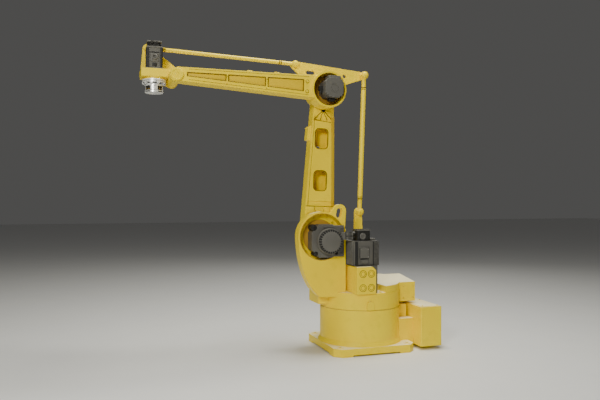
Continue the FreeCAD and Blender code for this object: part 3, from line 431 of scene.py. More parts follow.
# ---------------------------------------------------------------- camera, light and floor
def make_stage():
    camera = bpy.data.objects.new("camera", bpy.data.cameras.new("camera"))
    camera.location = (2.1589, 4.954, 1.2555)
    camera.rotation_euler = (math.radians(90), 0, math.radians(161.9))
    camera.data.lens = 37.34
    camera.data.sensor_width = 36
    bpy.context.scene.collection.objects.link(camera)
    bpy.context.scene.camera = camera

    floor = bpy.data.meshes.new("floor")
    floor.from_pydata([(-30, -30, 0), (30, -30, 0), (30, 30, 0), (-30, 30, 0)], [], [(0, 1, 2, 3)])
    ground = bpy.data.objects.new("floor", floor)
    bpy.context.scene.collection.objects.link(ground)
    pale = Shader("pale_floor")
    tone = pale.mix(pale.noise(3, 3), (0.78, 0.78, 0.77), (0.82, 0.82, 0.81))
    pale.link(tone, pale.surface.inputs["Base Color"])
    pale.surface.inputs["Roughness"].default_value = 0.7
    floor.materials.append(pale.material)

    lamps = (("key", (3.7, 4.9, 3.2), 215, 1.3), ("fill", (-3.4, 4.8, 2.2), 14, 3.0),
             ("top", (0.0, 0.2, 5.4), 260, 1.8), ("back", (-2.5, -5.0, 4.2), 40, 3.0))
    for name, place, power, size in lamps:
        lamp = bpy.data.objects.new(name, bpy.data.lights.new(name, "AREA"))
        lamp.data.energy = power
        lamp.data.size = size
        lamp.data.color = (1.0, 0.985, 0.90)
        lamp.location = place
        aim = Vector((0.5, 0, 1.2)) - lamp.location
        lamp.rotation_euler = aim.to_track_quat("-Z", "Y").to_euler()
        bpy.context.scene.collection.objects.link(lamp)

    world = bpy.data.worlds.new("studio")
    world.use_nodes = True
    world.node_tree.nodes["Background"].inputs["Color"].default_value = (1.0, 0.99, 0.96, 1)
    world.node_tree.nodes["Background"].inputs["Strength"].default_value = 0.08
    bpy.context.scene.world = world


# ---------------------------------------------------------------- base
def dress_base():
    cover_low, cover_high = low("connection_cover"), high("connection_cover")
    inset, back = 0.016, cover_low.x

    def cover_screws(mesh):
        for y in (cover_low.y + inset, (cover_low.y + cover_high.y) / 2, cover_high.y - inset):
            for z in (cover_low.z + inset, cover_high.z - inset):
                cap_screw(mesh, facing((back, y, z), -ALONG_X), 0.006, 0.007)

    def glands(mesh):
        inlet_low, inlet_high = low("supply_inlets"), high("supply_inlets")
        height, reach = middle("supply_inlets").z, (inlet_high.z - inlet_low.z) / 2
        span = inlet_high.y - inlet_low.y - 2 * reach
        for step in range(3):
            y = inlet_low.y + reach + span * step / 2
            lathe(mesh, [(0.026, 0), (reach + 0.01, 0), (reach + 0.01, 0.009), (reach + 0.006, 0.012),
                         (0.026, 0.012)], facing((back, y, height), -ALONG_X), 6)
            hoop(mesh, [(reach * 0.62, 0), (reach - 0.004, 0), (reach - 0.006, 0.0015),
                        (reach * 0.66, 0.0015)], facing((inlet_low.x + 0.0018, y, height), -ALONG_X))

    def box_lid(mesh):
        box_low, box_high = low("connection_box"), high("connection_box")
        slab(mesh, (box_low.x + 0.012, box_low.y + 0.012, box_high.z - 0.002),
             (box_high.x - 0.012, box_high.y - 0.012, box_high.z + 0.004))
        for x in (box_low.x + 0.03, box_high.x - 0.03):
            for y in (box_low.y + 0.03, 0, box_high.y - 0.03):
                cap_screw(mesh, facing((x, y, box_high.z + 0.004), ALONG_Z), 0.006, 0.006)

    def anchor_rings(mesh):
        for x in (-ANCHOR, ANCHOR):
            for y in (-ANCHOR, ANCHOR):
                hoop(mesh, [(0.0145, -0.001), (0.030, -0.001), (0.030, 0.003), (0.028, 0.004),
                            (0.0145, 0.004)], facing((x, y, PLATE_TOP), ALONG_Z), 40)

    piece("anchor_rings", "base", YELLOW, anchor_rings)
    piece("cover_screws", "base", STEEL, cover_screws)
    piece("gland_nuts", "base", BLACK, glands)
    piece("box_lid", "base", YELLOW, box_lid)


# ---------------------------------------------------------------- turret
def dress_turret():
    bracket_low, bracket_high = low("motor_bracket"), high("motor_bracket")
    bosses = [facing((bracket_low.x + x, bracket_high.y, bracket_low.z + z), ALONG_Y)
              for x in (0.042, 0.115) for z in (0.050, 0.163)]

    def bracket_bosses(mesh):
        for at in bosses:
            lathe(mesh, [(0, -0.002), (0.027, -0.002), (0.027, 0.0010), (0.0255, 0.0018), (0, 0.0018)],
                  at, 28)
            lathe(mesh, [(0, 0.0018), (0.0165, 0.0018), (0.0165, 0.0030), (0.014, 0.0036), (0, 0.0036)],
                  at, 6)

    def boss_shadows(mesh):
        # Painted shadow: a dark ring round each boss and round its screw head.
        for at in bosses:
            washer(mesh, 0.0265, 0.0305, -0.001, 0.0012, at)
            washer(mesh, 0.0160, 0.0195, 0.001, 0.0022, at)

    def side_plug(mesh):
        at = facing((bracket_low.x + 0.003, bracket_high.y - 0.075, bracket_low.z + 0.117), -ALONG_X)
        lathe(mesh, [(0, 0), (0.013, 0), (0.013, 0.022), (0.009, 0.026), (0.009, 0.040), (0.007, 0.044),
                     (0, 0.044)], at, 20)
        slab(mesh, (bracket_low.x - 0.004, bracket_low.y + 0.04, bracket_low.z + 0.02),
             (bracket_low.x + 0.001, bracket_high.y - 0.05, bracket_high.z - 0.004))

    def rim_screws(mesh):
        """Only where the rim is bare: between housing and skirt, and clear of the bracket."""
        for at in circle_of(20, 0.318, facing((0, 0, bracket_low.z), ALONG_Z), math.radians(9)):
            x, y = at.translation.x, at.translation.y
            if -0.08 < x < 0.2 and (x <= -0.02 or y <= 0):
                cap_screw(mesh, at, 0.009, 0.010)

    piece("bracket_bosses", "turret", YELLOW, bracket_bosses)
    piece("boss_shadows", "turret", SHADOW_LINE, boss_shadows)
    piece("bracket_plug", "turret", BLACK_GREY, side_plug)
    piece("rim_screws", "turret", YELLOW, rim_screws)


def dress_turn_motor():
    motor_low, motor_high = low("turn_motor"), high("turn_motor")
    encoder_low, encoder_high = low("turn_encoder"), high("turn_encoder")
    front, top = motor_high.y, motor_high.z
    head_bottom = high("motor_bracket").z + 0.006
    box_x, box_z = motor_high.x - 0.0965, head_bottom + 0.1025  # the terminal box's centre

    def terminal(mesh):
        for left, right, foot, head, proud, edge in ((0.135, 0.058, 0.062, 0.143, 0.007, 0.0015),
                                                     (0.128, 0.066, 0.018, 0.050, 0.004, 0.0012),
                                                     (0.140, 0.050, 0.146, 0.152, 0.003, 0.001)):
            slab(mesh, (motor_high.x - left, front - 0.001, head_bottom + foot),
                 (motor_high.x - right, front + proud, head_bottom + head), edge=edge)
        for at in circle_of(4, 0.043, facing((box_x, front + 0.007, box_z), ALONG_Y), math.pi / 4):
            cap_screw(mesh, at, 0.0035, 0.003)

    def fins(mesh):
        for step in range(5):
            x = motor_low.x + 0.006 + step * 0.0085
            slab(mesh, (x, front - 0.012, head_bottom + 0.004),
                 (x + 0.0035, front + 0.006, top - 0.006), edge=0.0008)
        for step in range(9):
            y = motor_low.y + 0.03 + step * 0.019
            for x in (motor_low.x - 0.005, motor_high.x - 0.003):
                slab(mesh, (x, y, head_bottom + 0.006),
                     (x + 0.008, y + 0.006, top - 0.008), edge=0.0012)

    def dark_strips(mesh):
        # Painted shade: black strips where the motor's side gaps are, and thin black lines beside them.
        for left, right in ((motor_low.x + 0.001, motor_low.x + 0.047),
                            (motor_high.x - 0.034, motor_high.x - 0.017)):
            slab(mesh, (left, front - 0.02, head_bottom + 0.003),
                 (right, front + 0.0012, top - 0.004), edge=0.0005)
        for x in (motor_low.x + 0.047, motor_high.x - 0.038):
            slab(mesh, (x, front - 0.001, head_bottom + 0.003),
                 (x + 0.004, front + 0.003, top - 0.004), edge=0.0008)

    def terminal_lines(mesh):
        outer, inner = ([(box_x + x, box_z + z) for x, z in rounded_loop(wide, tall, corner)]
                        for wide, tall, corner in ((0.084, 0.088, 0.006), (0.077, 0.081, 0.004)))
        band(mesh, outer, inner, Matrix.Identity(4), front - 0.001, front + 0.0015)
        slab(mesh, (motor_high.x - 0.133, front - 0.001, head_bottom + 0.052),
             (motor_high.x - 0.060, front + 0.002, head_bottom + 0.056), edge=0.0008)

    def gaps(mesh):
        slab(mesh, (motor_high.x - 0.006, motor_low.y + 0.015, head_bottom - 0.001),
             (motor_high.x + 0.001, front - 0.006, head_bottom + 0.006))
        slab(mesh, (motor_low.x + 0.05, front - 0.001, head_bottom),
             (motor_high.x - 0.018, front + 0.0015, head_bottom + 0.007), edge=0.0006)
        slab(mesh, (encoder_low.x - 0.008, encoder_low.y - 0.008, top - 0.001),
             (encoder_high.x + 0.008, encoder_high.y + 0.008, top + 0.006), edge=0.002)

    def encoder_cap(mesh):
        at = facing((encoder_high.x - 0.045, encoder_high.y, encoder_low.z + 0.038), ALONG_Y)
        lathe(mesh, [(0, -0.001), (0.027, -0.001), (0.027, 0.004), (0.024, 0.006), (0.018, 0.006),
                     (0.016, 0.003), (0, 0.003)], at, 32)
        slab(mesh, (encoder_low.x - 0.003, encoder_low.y - 0.003, encoder_high.z - 0.012),
             (encoder_high.x + 0.003, encoder_high.y + 0.003, encoder_high.z - 0.004), edge=0.0015)
        slab(mesh, (motor_low.x + 0.004, encoder_low.y + 0.02, top - 0.001),
             (encoder_low.x - 0.012, encoder_high.y - 0.03, top + 0.018), edge=0.003)
        plug(mesh, 0.013, 0.02, 0.024,
             facing((encoder_high.x - 0.001, middle("turn_encoder").y, encoder_low.z + 0.062), ALONG_X))

    piece("turn_motor_strips", "turret", BLACK, dark_strips)
    piece("turn_motor_lines", "turret", BLACK, terminal_lines)
    piece("turn_motor_terminal", "turret", DARK_GREY, terminal)
    piece("turn_motor_fins", "turret", DARK_GREY, fins)
    piece("turn_motor_gaps", "turret", BLACK_GREY, gaps)
    piece("turn_encoder_cap", "turret", DARK_GREY, encoder_cap)


def dress_shoulder():
    flange_low, flange_high = low("arm_motor_flange"), high("arm_motor_flange")
    disc = over(middle("arm_motor"), high("arm_motor").y)
    rim = (high("arm_motor").x - low("arm_motor").x) / 2

    def notches(mesh):
        for at in spokes(28, disc):
            slab(mesh, (rim - 0.013, -0.0058, -0.020), (rim + 0.004, 0.0058, 0.0045), at, 0.0012)

    def disc_cap(mesh):
        lathe(mesh, [(0, -0.001), (rim - 0.010, -0.001), (rim - 0.010, 0.003), (rim - 0.014, 0.0055),
                     (0, 0.0055)], disc, 64)
        hoop(mesh, [(rim - 0.001, -0.055), (rim + 0.011, -0.055), (rim + 0.011, -0.026),
                    (rim + 0.008, -0.023), (rim - 0.001, -0.023)], disc, 64)
        slab(mesh, (flange_low.x + 0.03, flange_high.y - 0.001, flange_high.z - 0.028),
             (flange_high.x - 0.09, flange_high.y + 0.005, flange_high.z - 0.010))

    def corner_bosses(mesh):
        for x, z, radius in ((flange_high.x - 0.018, flange_high.z - 0.026, 0.027),
                             (flange_high.x - 0.034, flange_low.z + 0.034, 0.020),
                             (flange_low.x + 0.036, flange_low.z + 0.036, 0.018)):
            at = facing((x, flange_high.y, z), ALONG_Y)
            lathe(mesh, [(0, -0.075), (radius, -0.075), (radius, -0.004), (radius * 0.85, 0.002),
                         (0, 0.002)], at, 28)
            cap_screw(mesh, at @ Matrix.Translation((0, 0, 0.002)), radius * 0.45, 0.009)

    def flange_wing(mesh):
        slab(mesh, (flange_low.x - 0.032, flange_high.y - 0.022, flange_low.z + 0.006),
             (flange_low.x + 0.075, flange_high.y + 0.002, flange_high.z - 0.008), edge=0.007)
        for z in (flange_low.z + 0.032, flange_high.z - 0.034):
            at = facing((flange_low.x - 0.008, flange_high.y + 0.002, z), ALONG_Y)
            cap_screw(mesh, at, 0.007, 0.007)

    def recess_screws(mesh):
        for at in circle_of(18, 0.164, over(SHOULDER, SHOULDER_FLOOR), 0.1):
            cap_screw(mesh, at, 0.008, 0.009)

    def seal(mesh):
        hoop(mesh, [(0.188, 0), (0.193, 0), (0.193, 0.0035), (0.1885, 0.005)],
             over(SHOULDER, RING_FACE), 96)

    def far_cap(mesh):
        at = beyond(SHOULDER)
        lathe(mesh, [(0, -0.001), (0.094, -0.001), (0.094, 0.005), (0.090, 0.008), (0.03, 0.010),
                     (0, 0.010)], at, 64)
        for screw in circle_of(10, 0.078, at @ Matrix.Translation((0, 0, 0.007))):
            cap_screw(mesh, screw, 0.006, 0.007)

    def plug_details(mesh):
        plug_low, plug_high = low("arm_motor_connector"), high("arm_motor_connector")
        z = middle("arm_motor_connector").z
        for offset, reach in ((0.014, 0.028), (-0.014, 0.020)):
            lathe(mesh, [(0, 0), (0.0105, 0), (0.0105, reach * 0.4), (0.0085, reach * 0.45),
                         (0.0085, reach * 0.9), (0.007, reach), (0, reach)],
                  facing((plug_low.x + 0.001, plug_high.y - 0.018, z + offset), -ALONG_X), 20)
        for reach in (0.018, 0.034, 0.062):
            x = plug_low.x + reach
            slab(mesh, (x, plug_high.y - 0.001, z - 0.031),
                 (x + 0.006, plug_high.y + 0.002, z + 0.031), edge=0.0008)
        slab(mesh, (plug_low.x - 0.001, plug_high.y - 0.001, z - 0.004),
             (plug_low.x + 0.062, plug_high.y + 0.0025, z + 0.003), edge=0.0008)
        slab(mesh, (plug_low.x - 0.001, plug_high.y - 0.030, plug_high.z - 0.001),
             (plug_low.x + 0.062, plug_high.y - 0.008, plug_high.z + 0.006), edge=0.002)

    piece("arm_motor_notches", "turret", BLACK, notches)
    piece("arm_motor_disc", "turret", DARK_GREY, disc_cap)
    piece("flange_bosses", "turret", BLACK_GREY, corner_bosses)
    piece("flange_wing", "turret", DARK_GREY, flange_wing)
    piece("recess_screws", "turret", YELLOW, recess_screws)
    piece("ring_seal", "turret", RECESS_SHADE_AND_COPPER, seal)
    piece("far_bearing_cap", "turret", YELLOW, far_cap)
    piece("connector_details", "turret", BLACK_GREY, plug_details)


def dress_rear_housing():
    housing_low = low("rear_housing")

    def cover_screws(mesh):
        for x in (housing_low.x + 0.02, housing_low.x + 0.11):
            for z in (housing_low.z + 0.03, housing_low.z + 0.13):
                cap_screw(mesh, facing((x, HOUSING_SIDE, z), ALONG_Y), 0.006, 0.006)
                cap_screw(mesh, facing((x, -HOUSING_SIDE, z), -ALONG_Y), 0.006, 0.006)

    def vent(mesh):
        for step in range(6):
            z = housing_low.z + 0.05 + step * 0.014
            slab(mesh, (housing_low.x - 0.002, -0.08, z),
                 (housing_low.x + 0.003, 0.08, z + 0.006), edge=0.001)

    piece("housing_screws", "turret", YELLOW, cover_screws)
    piece("housing_vent", "turret", BLACK_GREY, vent)


# ---------------------------------------------------------------- lower arm
def dress_lower_arm():
    arm = along(SHOULDER, ELBOW)
    arm_length = (ELBOW - SHOULDER).length

    def ribs(mesh):
        for left, right in ((-0.10, -0.052), (0.036, 0.098)):
            slab(mesh, (left, WEB_FACE - 0.001, 0.190), (right, WEB_FACE + 0.006, 0.243), arm, 0.003)

    def lines(mesh):
        # Painted shadow: dark strokes along the arm's creases, ribs and steps.
        crotch = (-0.018, arm_length - 0.146)
        for end, lower_end in (((-0.066, 1.001), (-0.098, 0.966)), ((0.036, 1.001), (0.066, 0.972))):
            stroke(mesh, crotch, end, 0.006, arm, WEB_FACE)
            stroke(mesh, end, lower_end, 0.006, arm, ARM_FACE)
        for end, lower_end in (((-0.036, 1.001), (-0.048, 0.968)), ((0.004, 1.001), (0.014, 0.970))):
            stroke(mesh, (-0.018, arm_length - 0.155), end, 0.0045, arm, WEB_FACE)
            stroke(mesh, end, lower_end, 0.0045, arm, ARM_FACE)
        stroke(mesh, (-0.1125, 0.950), (0.0, 0.960), 0.0045, arm, ARM_FACE)
        stroke(mesh, (0.0, 0.960), (0.071, 0.972), 0.0045, arm, ARM_FACE)
        stroke(mesh, (-0.138, 0.2485), (0.110, 0.2485), 0.0035, arm, WEB_FACE, 0.010)
        stroke(mesh, (-0.058, 0.245), (-0.040, 0.185), 0.0035, arm, WEB_FACE)
        stroke(mesh, (0.036, 0.245), (0.018, 0.185), 0.0035, arm, WEB_FACE)
        stroke(mesh, (0.097, 0.252), (0.059, 0.998), 0.003, arm, ARM_FACE)

    def rear_bevel_shade(mesh):
        # Painted shade: a thin darker strip on the side, where the rear bevel turns away from the
        # light.
        prism(mesh, [(-0.1385, 0.252), (-0.110, 0.252), (-0.0835, 0.998), (-0.1115, 0.998)], -0.0012,
              upright(arm @ Matrix.Translation((0, ARM_FACE - 0.0002, 0))), 0.0003)

    def grease_hole(mesh):
        at = arm @ Matrix.Translation((-0.018, WEB_FACE, arm_length - 0.144)) @ Matrix.Rotation(
            math.radians(-90), 4, "X")
        # Painted shade: the hole and its rim are dark, and the hole is a flat disc.
        hoop(mesh, [(0.011, -0.001), (0.019, -0.001), (0.019, 0.002), (0.016, 0.004), (0.011, 0.002)],
             at, 28)
        lathe(mesh, [(0, -0.0005), (0.011, -0.0005), (0.011, 0.0008), (0, 0.0008)], at, 28)

    def side_screws(mesh):
        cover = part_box("arm_side_cover")
        centre = middle("arm_side_cover")
        for z in (cover[0][2] + 0.02, cover[1][2] - 0.02):
            for y in (cover[0][1] + 0.012, cover[1][1] - 0.012):
                x = centre.x + 0.0135 + (centre.z - z) * 0.037  # the cover leans with the arm
                cap_screw(mesh, facing((x, y, z), ALONG_X), 0.005, 0.005)

    def window_shadow(mesh):
        # Painted shadow: a dark band round the lip of each window.
        for height in (0.462, 0.812):
            outer, inner = ([(x - 0.005, z + height) for x, z in rounded_loop(wide, tall, corner)]
                            for wide, tall, corner in ((0.120, 0.173, 0.035), (0.109, 0.162, 0.030)))
            band(mesh, outer, inner, arm, 0.070, 0.0758)

    piece("arm_ribs", "lower_arm", YELLOW_CAST, ribs)
    piece("arm_grease_hole", "lower_arm", BLACK_GREY, grease_hole)
    piece("arm_cover_screws", "lower_arm", YELLOW, side_screws)
    piece("arm_window_trim", "lower_arm", SHADOW_LINE, window_shadow)
    piece("arm_shadow_lines", "lower_arm", SHADOW_LINE, lines)
    piece("arm_rear_bevel", "lower_arm", YELLOW_PAINTED_SHADE, rear_bevel_shade)


# ---------------------------------------------------------------- elbow and forearm
def dress_elbow():
    motor_low, motor_high, motor_mid = low("elbow_motor"), high("elbow_motor"), middle("elbow_motor")
    seat = over(ELBOW, high("elbow_motor_flange").y)

    def flange_screws(mesh):
        for at in circle_of(12, 0.100, seat, 0.13):
            cap_screw(mesh, at, 0.007, 0.010)
        for at in circle_of(16, 0.121, over(ELBOW, ELBOW_FLOOR)):
            cap_screw(mesh, at, 0.0055, 0.012)

    def motor_cap(mesh):
        end = over(motor_mid, motor_high.y)
        for at in circle_of(4, 0.088, end, math.radians(43)):
            lathe(mesh, [(0, -0.001), (0.006, -0.001), (0.006, 0.003), (0.005, 0.004), (0, 0.004)],
                  at @ Matrix.Translation((0, 0, -0.0005)), 16)
        hoop(mesh, [(0.030, -0.001), (0.034, -0.001), (0.034, 0.0012), (0.0335, 0.0018),
                    (0.030, 0.0018)], end)

    def hood(mesh):
        slab(mesh, (motor_low.x + 0.022, motor_mid.y - 0.015, motor_high.z - 0.030),
             (motor_high.x - 0.030, motor_high.y - 0.006, motor_high.z + 0.016), edge=0.007)

    def ring_shadow(mesh):
        # Painted shadow: a dark ring round the elbow's bore.
        hoop(mesh, [(0.1275, -0.004), (0.1295, -0.004), (0.1325, 0.0008), (0.1295, 0.0008)],
             over(ELBOW, high("forearm_casting").y), 96)

    def wiring(mesh):
        slab(mesh, (motor_high.x - 0.004, motor_mid.y - 0.02, motor_mid.z - 0.022),
             (motor_high.x + 0.030, motor_mid.y + 0.018, motor_mid.z + 0.016), edge=0.003)
        plug(mesh, 0.011, 0.020, 0.024,
             facing((motor_high.x + 0.012, motor_mid.y + 0.001, motor_mid.z - 0.020), -ALONG_Z), 20)
        slab(mesh, (motor_mid.x - 0.026, motor_mid.y - 0.03, motor_low.z - 0.022),
             (motor_mid.x + 0.024, motor_mid.y + 0.012, motor_low.z + 0.004), edge=0.003)

    def far_cap(mesh):
        at = beyond(ELBOW)
        lathe(mesh, [(0, -0.001), (0.050, -0.001), (0.050, 0.005), (0.047, 0.008), (0, 0.009)], at, 48)
        for screw in circle_of(6, 0.036, at @ Matrix.Translation((0, 0, 0.0075))):
            cap_screw(mesh, screw, 0.005, 0.006)

    # Painted shade: the screws in the elbow's recess are brown.
    piece("elbow_flange_screws", "forearm", RECESS_SHADE_AND_COPPER, flange_screws)
    piece("elbow_motor_cap", "forearm", DARK_GREY, motor_cap)
    piece("elbow_motor_hood", "forearm", DARK_GREY, hood)
    piece("elbow_ring_line", "forearm", SHADOW_LINE, ring_shadow)
    piece("elbow_wiring", "forearm", BLACK_GREY, wiring)
    piece("elbow_far_cap", "elbow_link", YELLOW, far_cap)


def dress_forearm():
    arm = limb(ELBOW, WRIST)
    taper_start = 0.205
    cover_screws = ((0.186, 0.046), (0.186, -0.034))
    first_panel, panel_step, panel_length, panels = 0.216, 0.315, 0.297, range(3)

    def on_face(x, z):
        return arm @ Matrix.Translation((x, BEAM_FACE, z)) @ Matrix.Rotation(math.radians(-90), 4, "X")

    def face_screws(mesh):
        for x, z in cover_screws:
            cap_screw(mesh, on_face(x, z), 0.009, 0.008)
        for x, reach in ((0.522, 0.036), (0.837, 0.028)):
            for z in (reach, -reach):
                cap_screw(mesh, on_face(x, z - 0.002), 0.0055, 0.005)

    def top(x):
        return 0.098 - (x - taper_start) * 0.0379

    def bottom(x):
        return -0.076 + (x - taper_start) * 0.0319

    def lifting_lugs(mesh):
        for x in (0.44, 0.66):
            for back in (0.104, BEAM_FACE - 0.032):
                slab(mesh, (x - 0.02, back, top(x) - 0.002),
                     (x + 0.02, back + 0.026, top(x) + 0.008), arm, 0.003)

    def pivot(mesh):
        at = over(WRIST, high("wrist_pivot_cap").y)
        hoop(mesh, [(0.034, -0.001), (0.046, -0.001), (0.046, 0.002), (0.044, 0.004), (0.036, 0.004),
                    (0.034, 0.002)], at)
        hoop(mesh, [(0.010, -0.001), (0.016, -0.001), (0.016, 0.0015), (0.010, 0.0025)], at, 32)

    def panel(number, inset):
        """The outline of one of the recessed panels, drawn in by an inset."""
        start = first_panel + number * panel_step + inset
        end = start + panel_length - 2 * inset
        return [(start, bottom(start) + 0.043 + inset), (end, bottom(end) + 0.043 + inset),
                (end, top(end) - 0.038 - inset), (start, top(start) - 0.038 - inset)]

    def panel_floor_shade(mesh):
        # Painted shade: thin darker sheets on the recessed panels' floors.
        floor = upright(arm @ Matrix.Translation((0, BEAM_FACE - 0.0155, 0)))
        for number in panels:
            prism(mesh, panel(number, 0.0002), -0.0045, floor, 0.0008)

    def panel_shadows(mesh):
        # Painted shadow: a dark outline round each recessed panel.
        for number in panels:
            band(mesh, panel(number, -0.0025), panel(number, 0.0025), arm, BEAM_FACE - 0.013,
                 BEAM_FACE + 0.0008)

    def beam_shadows(mesh):
        # Painted shadow: dark strokes along the beam's top and bottom ribs, and dark rings round the
        # cover screws.
        for edge, inset in ((bottom, 0.017), (top, -0.013)):
            start, end = ((x, edge(x) + inset) for x in (0.172, 1.13))
            stroke(mesh, start, end, 0.0028, arm, BEAM_FACE)
        for x, z in cover_screws:
            washer(mesh, 0.0125, 0.0150, -0.001, 0.0012, on_face(x, z), 32)

    piece("forearm_shadow_lines", "forearm", SHADOW_LINE, beam_shadows)
    piece("forearm_screws", "forearm", YELLOW, face_screws)
    piece("forearm_lugs", "forearm", YELLOW, lifting_lugs)
    piece("forearm_panel_floors", "forearm", YELLOW_RECESS_SHADE, panel_floor_shade)
    piece("forearm_panel_lines", "forearm", SHADOW_LINE, panel_shadows)
    piece("wrist_pivot_ring", "forearm", YELLOW, pivot)


# ---------------------------------------------------------------- rods
def dress_rods():
    # Each rod's pins, and how far its ends reach in from them.
    lower_rod, upper_rod = (LOWER_PIN, REAR_PIN, 0.130), (UPPER_PIN, FRONT_PIN, 0.140)

    def collars(start, end, reach, radius, stem):
        """A hexagonal nut where each rod end meets the tube, open on the stem."""
        def build(mesh):
            for place in (reach - 0.0135, (end - start).length - reach + 0.0045):
                lathe(mesh, [(stem, 0), (radius, 0), (radius, 0.008), (radius * 0.93, 0.009),
                             (stem, 0.009)], along(start, end) @ Matrix.Translation((0, 0, place)), 6)
        return build

    piece("lower_rod_nuts", "lower_rod", YELLOW, collars(*lower_rod, 0.0225, 0.0155))
    piece("upper_rod_nuts", "upper_rod", YELLOW, collars(*upper_rod, 0.0185, 0.0125))

    def neck_shadows(start, end, reach, radius):
        """Two painted shadow rings at each end of a rod's tube, where its necks are shaded."""
        def build(mesh):
            far = (end - start).length - reach
            for place in (reach - 0.021, reach - 0.004, far - 0.001, far + 0.016):
                washer(mesh, radius - 0.008, radius + 0.001, 0, 0.007,
                       along(start, end) @ Matrix.Translation((0, 0, place)), 32)
        return build

    piece("lower_rod_neck_shadows", "lower_rod", SHADOW_LINE, neck_shadows(*lower_rod, 0.0195))
    piece("upper_rod_neck_shadows", "upper_rod", SHADOW_LINE, neck_shadows(*upper_rod, 0.0165))

    def pin_cap(at):
        radius, height = 0.0245, 0.0095

        def build(mesh):
            dome = [(radius * math.cos(t), height * math.sin(t))
                    for t in (math.radians(angle) for angle in range(15, 90, 15))]
            lathe(mesh, [(0, -0.001), (radius, -0.001), *dome, (0, height)],
                  over(at, PIN_FACE), 32)
        return build

    for name, at, body, node in (("lower_pin_dome", LOWER_PIN, "turret", "lower_link_pin"),
                                 ("rear_pin_dome", REAR_PIN, "elbow_link", "rear_link_pin"),
                                 ("upper_pin_dome", UPPER_PIN, "elbow_link", "upper_link_pin")):
        piece(name, body, YELLOW, pin_cap(at))

    for name, at, body in (("lower_pin_nut", LOWER_PIN, "turret"),
                           ("rear_pin_nut", REAR_PIN, "elbow_link"),
                           ("upper_pin_nut", UPPER_PIN, "elbow_link"),
                           ("front_pin_nut", FRONT_PIN, "wrist")):
        piece(name, body, STEEL, lambda mesh, at=at: hex_screw(mesh, beyond(at), 0.017, 0.014))


# ---------------------------------------------------------------- wrist and tool
def dress_wrist():
    motor_low, motor_high = low("wrist_motor"), high("wrist_motor")
    encoder_low, encoder_high = low("wrist_encoder"), high("wrist_encoder")
    centre = middle("wrist_motor")

    def bands(mesh):
        for z, reach in ((motor_low.z, 0.008), (motor_high.z - 0.012, 0.003)):
            slab(mesh, (motor_low.x - reach, motor_low.y - reach * 0.5, z),
                 (motor_high.x + reach, motor_high.y + reach, z + 0.012), edge=0.002)
        slab(mesh, (centre.x - 0.030, motor_high.y - 0.001, motor_low.z + 0.058),
             (centre.x + 0.030, motor_high.y + 0.007, motor_low.z + 0.122), edge=0.003)
        at = facing((centre.x, motor_high.y + 0.007, motor_low.z + 0.092), ALONG_Y)
        hoop(mesh, [(0.013, -0.001), (0.021, -0.001), (0.021, 0.012), (0.019, 0.014), (0.014, 0.014),
                    (0.013, 0.012)], at, 32)
        for screw in circle_of(4, 0.031, at, math.pi / 4):
            cap_screw(mesh, screw, 0.003, 0.003)

    def fins(mesh):
        for step in range(7):
            y = motor_low.y + 0.012 + step * 0.013
            for x in (motor_low.x - 0.004, motor_high.x - 0.003):
                slab(mesh, (x, y, motor_low.z + 0.018),
                     (x + 0.007, y + 0.005, motor_high.z - 0.016), edge=0.001)
        slab(mesh, (centre.x - 0.038, motor_high.y - 0.001, motor_high.z - 0.052),
             (centre.x + 0.038, motor_high.y + 0.003, motor_high.z - 0.044), edge=0.001)
        slab(mesh, (centre.x - 0.018, motor_high.y - 0.001, motor_low.z + 0.020),
             (centre.x + 0.018, motor_high.y + 0.004, motor_low.z + 0.048), edge=0.002)

    def edge_strips(mesh):
        for x in (motor_low.x + 0.017, motor_high.x - 0.0205):
            slab(mesh, (x, motor_high.y - 0.001, motor_low.z + 0.014),
                 (x + 0.0035, motor_high.y + 0.004, motor_high.z - 0.014), edge=0.0006)

    def side_strips(mesh):
        for x in (motor_low.x + 0.003, motor_high.x - 0.017):
            slab(mesh, (x, motor_high.y - 0.004, motor_low.z + 0.013),
                 (x + 0.014, motor_high.y + 0.0025, motor_high.z - 0.013), edge=0.001)

    def encoder_lid(mesh):
        slab(mesh, (encoder_low.x - 0.004, encoder_low.y - 0.002, encoder_high.z - 0.011),
             (encoder_high.x + 0.004, encoder_high.y + 0.004, encoder_high.z - 0.0004), edge=0.003)

    def encoder_plugs(mesh):
        middle_x = middle("wrist_encoder").x
        slab(mesh, (encoder_low.x - 0.002, encoder_low.y - 0.001, encoder_low.z + 0.008),
             (encoder_high.x + 0.002, encoder_high.y + 0.002, encoder_low.z + 0.013), edge=0.001)
        plug(mesh, 0.012, 0.018, 0.022,
             facing((middle_x + 0.02, encoder_high.y - 0.001, encoder_low.z + 0.027), ALONG_Y))
        plug(mesh, 0.010, 0.012, 0.015,
             facing((middle_x - 0.018, encoder_high.y - 0.001, encoder_low.z + 0.026), ALONG_Y))

    def block_screws(mesh):
        for x in (motor_low.x - 0.022, motor_high.x + 0.022):
            for y in (motor_low.y + 0.012, motor_high.y - 0.012):
                hex_screw(mesh, facing((x, y, motor_low.z), ALONG_Z), 0.008, 0.009)

    def reducer_ring(mesh):
        under = facing((TOOL.x, 0, low("wrist_reducer").z + 0.0148), -ALONG_Z)
        hoop(mesh, [(0.080, 0), (0.0875, 0), (0.0875, 0.004), (0.0855, 0.006), (0.080, 0.006)],
             under, 64)

    piece("wrist_motor_bands", "wrist", DARK_GREY, bands)
    piece("wrist_motor_fins", "wrist", BLACK_GREY, fins)
    piece("wrist_motor_edges", "wrist", DARK_GREY, edge_strips)
    piece("wrist_motor_strips", "wrist", BLACK, side_strips)
    piece("wrist_encoder_lid", "wrist", DARK_GREY, encoder_lid)
    piece("wrist_encoder_plugs", "wrist", BLACK_GREY, encoder_plugs)
    piece("wrist_block_screws", "wrist", YELLOW, block_screws)
    piece("wrist_reducer_ring", "wrist", YELLOW, reducer_ring)


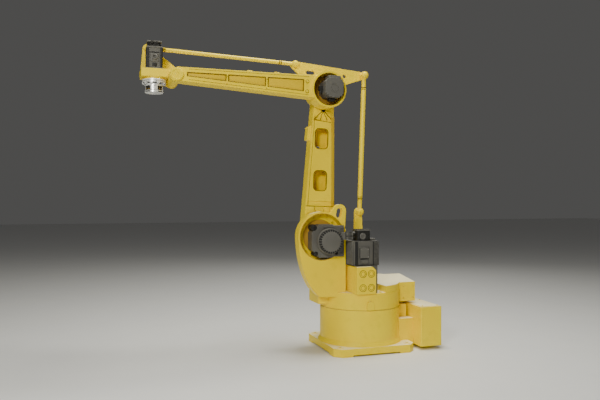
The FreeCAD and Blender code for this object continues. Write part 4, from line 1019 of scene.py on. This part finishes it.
def dress_tool():
    collar, lip = (facing((TOOL.x, 0, low(node).z), ALONG_Z) for node in ("tool_collar", "tool_flange"))

    def lugs(mesh):
        under = Matrix.Translation((0.081, 0, -0.006)) @ Matrix.Rotation(math.pi, 4, "X")
        for at in spokes(10, collar):
            slab(mesh, (0.070, -0.010, -0.006), (0.0905, 0.010, 0.003), at, 0.002)
            cap_screw(mesh, at @ under, 0.005, 0.006)

    def dark_slots(mesh):
        # Painted shade: black rings, slots and dots where the collar and flange have gaps and recesses.
        washer(mesh, 0.0655, 0.0672, -0.004, 0.0005, collar, 64)
        washer(mesh, 0.0660, 0.0672, 0.0152, 0.0172, lip, 64)
        washer(mesh, 0.0910, 0.0925, 0.012, 0.0145, collar, 72)
        pitch = 8.5  # degrees between the slots of a recess
        for degrees in (zone + step * pitch for zone in (40, 130, 220, 310) for step in range(-2, 3)):
            turn = Matrix.Rotation(math.radians(degrees), 4, "Z")
            slab(mesh, (0.058, -0.0053, 0.0185), (0.0672, 0.0053, 0.0490), lip @ turn, 0.0006)
            slab(mesh, (0.064, -0.0053, 0.0020), (0.0692, 0.0053, 0.0100), lip @ turn, 0.0006)
        for at in spokes(10, collar, 0.5):
            slab(mesh, (0.074, -0.012, -0.0022), (0.0915, 0.012, 0.0125), at, 0.001)
        outward = Matrix.Translation((0.0655, 0, 0.050)) @ Matrix.Rotation(math.pi / 2, 4, "Y")
        for at in spokes(8, lip):
            lathe(mesh, [(0, 0), (0.0045, 0), (0.0045, 0.0012), (0, 0.0012)], at @ outward, 16)

    def recess_bolts(mesh):
        outward = Matrix.Translation((0.0668, 0, 0.026)) @ Matrix.Rotation(math.pi / 2, 4, "Y")
        for degrees in (32, 50, 122, 140, 212, 230, 302, 320):
            turn = Matrix.Rotation(math.radians(degrees), 4, "Z")
            cap_screw(mesh, lip @ turn @ outward, 0.0045, 0.0022)

    piece("tool_recess_bolts", "tool", RECESS_SHADE_AND_COPPER, recess_bolts)
    piece("tool_lugs", "tool", SILVER, lugs)
    piece("tool_slots", "tool", BLACK_GREY, dark_slots)


dress_base()
dress_turret()
dress_turn_motor()
dress_shoulder()
dress_rear_housing()
dress_lower_arm()
dress_elbow()
dress_forearm()
dress_rods()
dress_wrist()
dress_tool()
make_stage()
